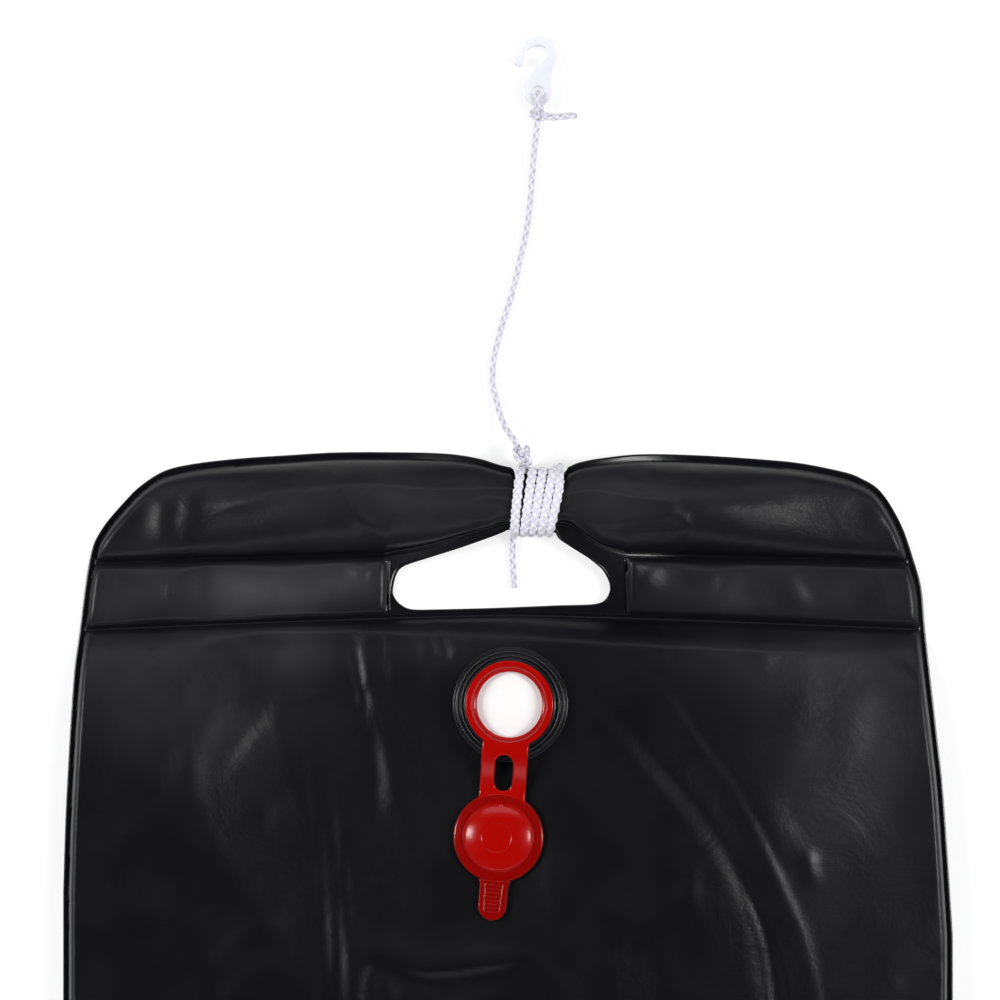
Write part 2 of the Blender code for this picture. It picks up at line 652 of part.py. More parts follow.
def inlet_flap(finish, hinge):
    """The white disc that closes the neck from inside, with the tab that it turns on."""
    low, high = -FLAP_THICKNESS / 2, FLAP_THICKNESS / 2
    profile = [(0, low), (FLAP_RADIUS, low), (FLAP_RADIUS, high), (0, high)]
    made = lathe("inlet_flap", profile, finish, hinge, at=(0, -FLAP_HINGE_Y, 0))
    half, end = FLAP_TAB / 2, FLAP_HINGE_Y
    root = FLAP_RADIUS - half
    tab = prism("flap_tab", [(-half, root), (half, root), (half, end), (-half, end)], low, high)
    tab.parent = hinge
    tab.location = (0, -FLAP_HINGE_Y, 0)
    boolean(made, tab, "UNION")
    return made


def strap_face(y):
    """Height of the strap's upper face at y in the filler's frame, where the strap runs down to the cap."""
    start = -RING_RADIUS
    share = ease((start - y) / (2 * (start - FOLD_Y)))
    return -STRAP_DROP * share - GAP / 2


def strap_half(name, start, end, parent, at):
    """Half of the strap, between two places along it."""
    places = [start + (end - start) * k / STRAP_STEPS for k in range(STRAP_STEPS + 1)]
    shape = bmesh.new()
    upper = [(y, strap_face(y)) for y in places]
    side = upper + [(y, z - STRAP_THICKNESS) for y, z in reversed(upper)]
    rim = [shape.verts.new((-STRAP_WIDTH / 2, y, z)) for y, z in side]
    raised = bmesh.ops.extrude_face_region(shape, geom=[shape.faces.new(rim)])
    moved = [v for v in raised["geom"] if isinstance(v, bmesh.types.BMVert)]
    bmesh.ops.translate(shape, vec=(STRAP_WIDTH, 0, 0), verts=moved)
    bmesh.ops.translate(shape, vec=-Vector(at), verts=shape.verts)
    return add_mesh(name, shape, parent=parent)


def strap_slot(name, parent, at):
    """The cutter for the round-ended slot in the strap."""
    radius, run = STRAP_SLOT_WIDTH / 2, (STRAP_SLOT_LENGTH - STRAP_SLOT_WIDTH) / 2
    across, middle = -at[0], STRAP_SLOT_Y - at[1]
    upper = arc((across, middle + run), radius, 0, 180, END_STEPS)
    outline = upper + arc((across, middle - run), radius, 180, 360, END_STEPS)
    made = prism(name, outline, -2 * RING_STACK, 2 * RING_STACK)
    made.parent = parent
    return made


def cap_ring(finish, filler):
    """The red ring with its recess, skirt and snap bead, and the upper half of the strap."""
    skirt = RING_BORE + SKIRT_WALL
    bead = -SKIRT_DEPTH + EDGE_ROUND
    profile = [
        (RING_BORE, -SKIRT_DEPTH), (SKIRT_BEAD - EDGE_ROUND / 2, -SKIRT_DEPTH), (SKIRT_BEAD, bead),
        (skirt, bead), (skirt, -RING_HEIGHT), (RING_RADIUS - EDGE_ROUND, -RING_HEIGHT),
        (RING_RADIUS, EDGE_ROUND - RING_HEIGHT), (RING_RADIUS, -EDGE_ROUND), (RING_RADIUS - EDGE_ROUND, 0),
        (RING_RECESS + EDGE_ROUND, 0), (RING_RECESS, -EDGE_ROUND),
        (RING_RECESS - EDGE_ROUND / 2, -RING_RECESS_DEPTH), (RING_BORE, -RING_RECESS_DEPTH),
    ]
    made = lathe("cap_ring", profile, finish, filler)
    middle = (0, 0, 0)
    root = -(RING_RECESS + RING_RADIUS) / 2
    half = strap_half("ring_strap", root, FOLD_Y + GAP / 2, filler, middle)
    boolean(half, strap_slot("ring_strap_slot", filler, middle), "DIFFERENCE")
    boolean(made, half, "UNION")
    return made


def dome(radius, rise):
    """A round cap's section as (radius, height) points, from the middle out to its edge."""
    curve = (radius**2 + rise**2) / (2 * rise)
    out = [radius * k / DOME_STEPS for k in range(DOME_STEPS + 1)]
    return [(r, math.sqrt(curve**2 - r**2) - curve + rise) for r in out]


def filler_cap(finish, fold):
    """The red cap: flange, hollow domed plug, the lower half of the strap, and the pull tab."""
    edge, under = CAP_RADIUS - EDGE_ROUND, -CAP_THICKNESS
    hollow = PLUG_RADIUS - CAP_WALL
    outer = [(r, z + PLUG_SIDE) for r, z in dome(PLUG_RADIUS, DOME_HEIGHT)]
    inner = [(r, z + PLUG_SIDE - CAP_WALL) for r, z in dome(hollow, DOME_HEIGHT)]
    profile = outer + [
        (PLUG_RADIUS, 0), (edge, 0), (CAP_RADIUS, -EDGE_ROUND), (CAP_RADIUS, under + EDGE_ROUND),
        (edge, under), (hollow, under),
    ] + inner[::-1]
    middle = (0, FOLD_Y, FOLD_Z)
    cap_at = (0, -CAP_DISTANCE - FOLD_Y, CAP_FACE - FOLD_Z)
    made = lathe("filler_cap", profile, finish, fold, cap_at)
    root = -CAP_DISTANCE + (PLUG_RADIUS + CAP_RADIUS) / 2
    half = strap_half("cap_strap", FOLD_Y - GAP / 2, root, fold, middle)
    boolean(half, strap_slot("cap_strap_slot", fold, middle), "DIFFERENCE")
    boolean(made, half, "UNION")
    width, start = TAB_WIDTH / 2, -(PLUG_RADIUS + CAP_RADIUS) / 2
    end = arc((0, CAP_DISTANCE - TAB_END + width), width, 0, -180, END_STEPS)
    tab = prism("cap_tab", [(width, start), *end, (-width, start)], -EDGE_ROUND - TAB_THICKNESS, -EDGE_ROUND)
    tab.parent = fold
    tab.location = cap_at
    boolean(made, tab, "UNION")
    return made


def hang_hook(finish, eye):
    """The flat hook with its eye."""
    places = smooth_line([(x, y, 0) for x, y in HOOK_SHARES], OUTLINE_STEPS)
    edge = [(p.x * HOOK_REACH, p.y * HOOK_REACH) for p in places]
    rim = arc((0, 0), HOOK_RIM, -165, -15, 2 * CORNER_STEPS)
    made = prism("hang_hook", edge + rim, -HOOK_THICKNESS / 2, HOOK_THICKNESS / 2)
    made.parent = eye
    made.data.materials.append(finish)
    soft = made.modifiers.new("soft_edge", "BEVEL")
    soft.width = HOOK_BEVEL
    soft.segments = 1
    soft.limit_method = "ANGLE"
    soft.angle_limit = BEVEL_ANGLE
    high = HOOK_THICKNESS
    profile = [(0, -high), (HOOK_EYE, -high), (HOOK_EYE, high), (0, high)]
    hole = lathe("eye_hole", profile, parent=eye, steps=SMALL_ROUND)
    boolean(made, hole, "DIFFERENCE")
    return made


def ball(name, radius, at, finish=None):
    """A round knot."""
    shape = bmesh.new()
    bmesh.ops.create_uvsphere(shape, u_segments=KNOT_ROUND, v_segments=KNOT_ROUND // 2, radius=radius)
    return add_mesh(name, shape, finish, at=at)


def square_wave(degrees):
    """A sine with fuller shoulders, for a path round a square bar."""
    value = math.sin(math.radians(degrees))
    return math.copysign(abs(value) ** LOOP_SQUARENESS, value)


def hook_knot(finish, eye):
    """The cord's loop through the eye, closed by its knot."""
    rim = (HOOK_EYE + HOOK_RIM) / 2
    across = (HOOK_RIM - HOOK_EYE) / 2 + 2 * GAP + LOOP_CORD / 2
    over = HOOK_THICKNESS / 2 + GAP + LOOP_CORD / 2
    knot = Vector((0, -HOOK_RIM - GAP - HOOK_KNOT_RADIUS, HOOK_KNOT_RADIUS - EYE_HEIGHT))
    turns = range(-140, 141, 14)
    loop = [Vector((0, across * square_wave(a + 90) - rim, over * square_wave(a))) for a in turns]
    route = [eye @ p for p in [knot, *loop, knot]]
    made = ball("hook_knot", HOOK_KNOT_RADIUS, eye @ knot, finish)
    tube = cord_tube("hook_loop", even_line(route, LOOP_CORD / 2), LOOP_CORD, None)
    graph = bpy.context.evaluated_depsgraph_get()
    solid = bmesh.new()
    solid.from_mesh(bpy.data.meshes.new_from_object(tube.evaluated_get(graph)))
    bpy.data.objects.remove(tube)
    bmesh.ops.remove_doubles(solid, verts=solid.verts, dist=WELD_DISTANCE)
    boolean(made, add_mesh("hook_loop", solid), "UNION")
    made.modifiers[0].use_self = True
    return made


def handle_ring(turn, x, layer=0.0):
    """A place on the cord's way round the handle: turn is 90 at the top edge and 0 in front."""
    tall = GATHER_HALF_HEIGHT + GAP + CORD / 2 + layer
    thick = HANDLE_HALF_THICKNESS + GAP + CORD / 2 + layer
    angle = math.radians(turn)
    return Vector((x, GATHER_Y + tall * math.sin(angle), HANDLE_HEIGHT + thick * math.cos(angle)))


def winding_points():
    """The winding's centreline: from the knot behind the turns to the right, then round the handle."""
    left, right = HANDLE_KNOT.x, WINDING_TOP_RIGHT
    towards = (HANDLE_KNOT - handle_ring(WINDING_START_TURN, left, SECOND_LAYER)).normalized()
    end = HANDLE_KNOT - towards * (KNOT_RADIUS + GAP)
    lane = [handle_ring(turn, left + (right - left) * share, SECOND_LAYER * layer)
            for turn, share, layer in WINDING_START]
    line = [end, *even_line([end - towards * CORD, *lane, handle_ring(90, right)], CORD)[:-1]]
    for k in range(TURN_POINTS * WINDING_TURNS + TURN_POINTS // 2 + 1):
        turned = k / TURN_POINTS
        last_back = ease(2 * (turned - WINDING_TURNS) + 1)
        across = right - WINDING_PITCH * turned - FIRST_STRAND_GAP * last_back
        line.append(handle_ring(90 - 360 * turned, across))
    return line + [line[-1] - Vector((0, 0, CORD))]


def least_gap(points, thick):
    """The least gap between a tube's turns, measured between places over three diameters apart along it."""
    fine = np.array([tuple(p) for p in even_line(points, thick / 4)])
    along = np.concatenate([[0], np.cumsum(np.linalg.norm(np.diff(fine, axis=0), axis=1))])
    least = math.inf
    for i in range(len(fine)):
        far = along > along[i] + 3 * thick
        if far.any():
            least = min(least, float(np.linalg.norm(fine[far] - fine[i], axis=1).min()))
    return least - thick


def outlet_tube(finish):
    """The short tube welded in at the bottom edge, barbed to hold a hose."""
    end, outside = OUTLET_INSIDE + OUTLET_OUTSIDE, OUTLET_RADIUS - OUTLET_BARB
    profile = [(OUTLET_BORE, 0), (OUTLET_RADIUS, 0), (OUTLET_RADIUS, OUTLET_INSIDE + OVERRUN),
               (outside, OUTLET_INSIDE + OVERRUN)]
    for k in range(OUTLET_BARBS, 0, -1):
        start = end - k * OUTLET_BARB_PITCH
        profile += [(outside, start), (OUTLET_RADIUS, start),
                    (outside, start + OUTLET_BARB_PITCH * OUTLET_BARB_SHARE)]
    profile += [(outside, end), (OUTLET_BORE, end)]
    place = (0, TOP_Y - BAG_LENGTH + OUTLET_INSIDE, SHEET + GAP + OUTLET_RADIUS)
    axis = add_frame("outlet_axis", at=place, turn=Matrix.Rotation(math.pi / 2, 4, "X"))
    return lathe("outlet_tube", profile, finish, axis, steps=SMALL_ROUND)


def main():
    """Build the bag, its filler, its handle and its cord."""
    clear_scene()
    black_sheet = material("black_sheet", (0.018, 0.018, 0.021), 0.36)
    black_moulding = material("black_moulding", (0.012, 0.012, 0.014), 0.3)
    red_plastic = material("red_plastic", (0.55, 0.008, 0.004), 0.25)
    white_plastic = material("white_plastic", (0.9, 0.9, 0.9), 0.45)
    hook_plastic = material("hook_plastic", (0.85, 0.87, 0.93), 0.35)
    white_cord = material("white_cord", (0.82, 0.8, 0.9), 0.8)

    filler = add_frame("filler_axis")
    filler.matrix_local = FILLER_MATRIX
    fold = add_frame("fold_axis", filler, (0, FOLD_Y, FOLD_Z))
    flap_hinge = add_frame("flap_axis", filler, (0, FLAP_HINGE_Y, FLAP_TOP - FLAP_THICKNESS / 2))
    eye = add_frame("eye_axis", at=(HOOK_X, HOOK_Y, EYE_HEIGHT), turn=Matrix.Rotation(-HOOK_TILT, 4, "X"))
    bpy.context.view_layer.update()

    front_panel(black_sheet, filler)
    sheet("back_panel", back_height, False, black_sheet)
    handle_tube(black_moulding)
    filler_collar(black_moulding, filler)
    valve_seat(white_plastic, filler)
    inlet_flap(white_plastic, flap_hinge)
    cap_ring(red_plastic, filler)
    filler_cap(red_plastic, fold)
    outlet_tube(black_moulding)

    winding = winding_points()
    gap = least_gap(winding, CORD)
    print(f"handle_winding: {len(winding)} points, least gap between its turns {gap / MM:.2f} mm")
    cord_tube("handle_winding", winding, CORD, white_cord, sides=1)
    ball("handle_knot", KNOT_RADIUS, HANDLE_KNOT, white_cord)
    routes = (("cord_free", CORD_ROUTE, 2 * CORD), ("handle_cord_end", HANDLE_END_ROUTE, CORD),
              ("hook_cord_end", HOOK_END_ROUTE, CORD))
    for name, route, spacing in routes:
        cord_tube(name, even_line([Vector(p) * MM for p in route], spacing), CORD, white_cord)
    hook_knot(white_cord, eye.matrix_world)
    hang_hook(hook_plastic, eye)


main()
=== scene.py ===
"""Camp shower bag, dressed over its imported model, with its floor, lights and camera.

+X is the bag's right, +Y points from its bottom edge to the hook, +Z is up. Lengths are in metres,
and route tables are in millimetres: across the bag, and depth below its top edge or height along Y.
"""

import logging
import math
from dataclasses import dataclass, field, replace
from enum import Enum
from typing import Callable, Iterable, Sequence

import bmesh
import bpy
import numpy as np
from mathutils import Matrix, Vector


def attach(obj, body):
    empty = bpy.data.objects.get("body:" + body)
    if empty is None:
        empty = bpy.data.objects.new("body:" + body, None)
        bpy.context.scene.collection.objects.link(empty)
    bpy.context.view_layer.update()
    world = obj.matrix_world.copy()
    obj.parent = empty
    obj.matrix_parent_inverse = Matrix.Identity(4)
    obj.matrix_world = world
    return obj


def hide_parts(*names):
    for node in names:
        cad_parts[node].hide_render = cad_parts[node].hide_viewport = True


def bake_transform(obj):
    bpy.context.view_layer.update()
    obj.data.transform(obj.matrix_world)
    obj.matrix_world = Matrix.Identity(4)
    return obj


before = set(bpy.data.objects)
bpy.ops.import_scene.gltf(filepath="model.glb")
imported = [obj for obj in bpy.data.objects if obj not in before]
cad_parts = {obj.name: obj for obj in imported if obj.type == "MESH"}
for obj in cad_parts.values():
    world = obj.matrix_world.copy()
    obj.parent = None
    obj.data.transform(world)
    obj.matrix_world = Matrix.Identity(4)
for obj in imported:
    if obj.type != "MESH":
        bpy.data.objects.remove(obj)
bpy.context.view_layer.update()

LOG = logging.getLogger("shower_bag")
MM = 0.001
SHARP_EDGE = math.radians(60)
Places = np.ndarray
Pair = tuple[float, float]
Triple = tuple[float, float, float]
Shape = bmesh.types.BMesh
Mesh = bpy.types.Mesh
Piece = bpy.types.Object
Tree = bpy.types.NodeTree
Socket = bpy.types.NodeSocket

# Shares of the half width across, and of the pocket's depth down
TOP_EDGE_SHARES = (
    (-0.77, 0.18), (-0.70, 0.11), (-0.60, 0.06), (-0.50, 0.03), (-0.38, 0.0), (-0.24, 0.0),
    (-0.15, 0.012), (-0.10, 0.035), (-0.06, 0.07), (-0.035, 0.105), (-0.018, 0.128), (-0.007, 0.14),
    (0.0, 0.146), (0.006, 0.152), (0.0105, 0.163), (0.0142, 0.213), (0.019, 0.2145), (0.027, 0.215),
    (0.04, 0.215),
    (0.06, 0.215), (0.09, 0.2145), (0.11, 0.214), (0.122, 0.2135), (0.1303, 0.213), (0.1338, 0.155),
    (0.143, 0.134), (0.162, 0.10), (0.21, 0.06), (0.30, 0.02), (0.43, 0.03), (0.57, 0.07),
    (0.66, 0.11), (0.75, 0.19), (0.79, 0.25),
)
# Shares of the half width across, and of the shoulder's depth down
LEFT_SIDE_SHARES = (
    (-1.0, 1.0), (-0.993, 0.79), (-0.977, 0.52), (-0.964, 0.416), (-0.941, 0.245), (-0.914, 0.176),
    (-0.858, 0.1075), (-0.822, 0.073),
)
RIGHT_SIDE_SHARES = (
    (0.838, 0.089), (0.883, 0.1625), (0.912, 0.245), (0.930, 0.3135), (0.939, 0.416), (0.966, 0.657),
    (0.980, 0.794), (1.0, 1.1),
)
# Shares of the slot's reach across, and of its depth down
SLOT_SHARES = (
    (-1.0, 0.87), (-0.97, 0.77), (-0.90, 0.715), (-0.70, 0.665), (-0.42, 0.60), (-0.15, 0.53),
    (-0.04, 0.498), (0.01, 0.482), (0.14, 0.481), (0.25, 0.481), (0.34, 0.481), (0.395, 0.484),
    (0.418, 0.509), (0.432, 0.532), (0.46, 0.552), (0.505, 0.574), (0.56, 0.60),
    (0.69, 0.66), (0.76, 0.70), (0.83, 0.75), (0.885, 0.84), (0.86, 0.915), (0.76, 0.96),
    (0.42, 0.97), (-0.07, 0.985), (-0.59, 0.995), (-0.83, 0.995), (-0.93, 0.965), (-0.985, 0.92),
)
# Shares of the slot's reach across, and of the pocket's depth down, of the handle's lower weld
HANDLE_FOOT_SHARES = (
    (-1.03, 1.01), (-0.70, 0.94), (-0.42, 0.85), (-0.14, 0.755), (-0.02, 0.715), (0.25, 0.71),
    (0.51, 0.715), (0.60, 0.78), (0.80, 0.93), (1.03, 1.02),
)

# The winding's start: turn round the handle, share of the way to the first turn, share of a second layer
WINDING_START_TURN = 118
WINDING_START = (
    (126, 0.07, 1.0), (133, 0.28, 1.0), (134, 0.51, 1.0), (132, 0.8, 1.0), (124, 0.965, 1.0),
    (113, 1.0, 0.9), (101, 1.0, 0.35),
)

# Shares of the hook's reach, from its eye: from the eye's right side over the crest to the tip and back
HOOK_SHARES = (
    (0.245, 0.0), (0.235, 0.12), (0.228, 0.27), (0.245, 0.36), (0.268, 0.45), (0.316, 0.54),
    (0.32, 0.68), (0.27, 0.875), (0.175, 0.962), (0.03, 1.0), (-0.11, 0.965), (-0.206, 0.89),
    (-0.27, 0.778), (-0.335, 0.665), (-0.42, 0.56), (-0.395, 0.49), (-0.33, 0.475), (-0.265, 0.51),
    (-0.25, 0.60), (-0.25, 0.68), (-0.19, 0.76), (-0.09, 0.83), (0.0, 0.85), (0.11, 0.81),
    (0.183, 0.715), (0.15, 0.62), (0.08, 0.535), (-0.02, 0.44), (-0.09, 0.35), (-0.17, 0.26),
    (-0.235, 0.16), (-0.245, 0.0),
)

# The cord's routes, from the handle's knot to the hook's, and of its two short ends
CORD_ROUTE = (
    (4.6, 314.9, 12.0), (2.9, 318.0, 10.4), (-1.1, 323.8, 6.8), (-3.3, 329.2, 4.0), (-4.9, 335.0, 2.2),
    (-6.5, 341.0, 1.7), (-7.0, 346.0, 1.7), (-6.1, 356.2, 1.7), (-2.5, 370.6, 1.7), (2.0, 385.0, 1.7),
    (5.0, 397.6, 1.7), (7.9, 410.3, 1.7), (9.9, 424.7, 1.7), (11.0, 439.1, 1.7), (12.2, 452.0, 1.8),
    (13.0, 458.5, 2.4), (13.4, 462.4, 3.0),
)
HANDLE_END_ROUTE = (
    (2.8, 276.1, 8.0), (2.75, 276.1, 6.0), (2.6, 275.3, 3.8), (2.3, 273.0, 2.2), (2.0, 269.6, 1.7),
    (2.0, 265.0, 1.7), (2.4, 258.4, 1.7), (2.9, 251.7, 1.7),
)
HOOK_END_ROUTE = (
    (16.5, 464.6, 3.1), (18.4, 463.8, 2.6), (21.0, 463.5, 2.0), (25.0, 464.0, 1.7), (31.0, 464.4, 1.7),
)


class FoldKind(Enum):
    """The section of a fold in the sheet."""

    RIDGE = "rounded on both sides"
    CREASE = "sharp along its line"
    SHELF = "gentle on the right of its route and steep on the left"


@dataclass(frozen=True)
class Fold:
    """One fold in the front sheet, in millimetres, with the shares of its height that are left at its two ends."""

    kind: FoldKind
    width: float
    height: float
    start: float
    end: float
    route: tuple[Pair, ...]


RIDGE, CREASE, SHELF = FoldKind

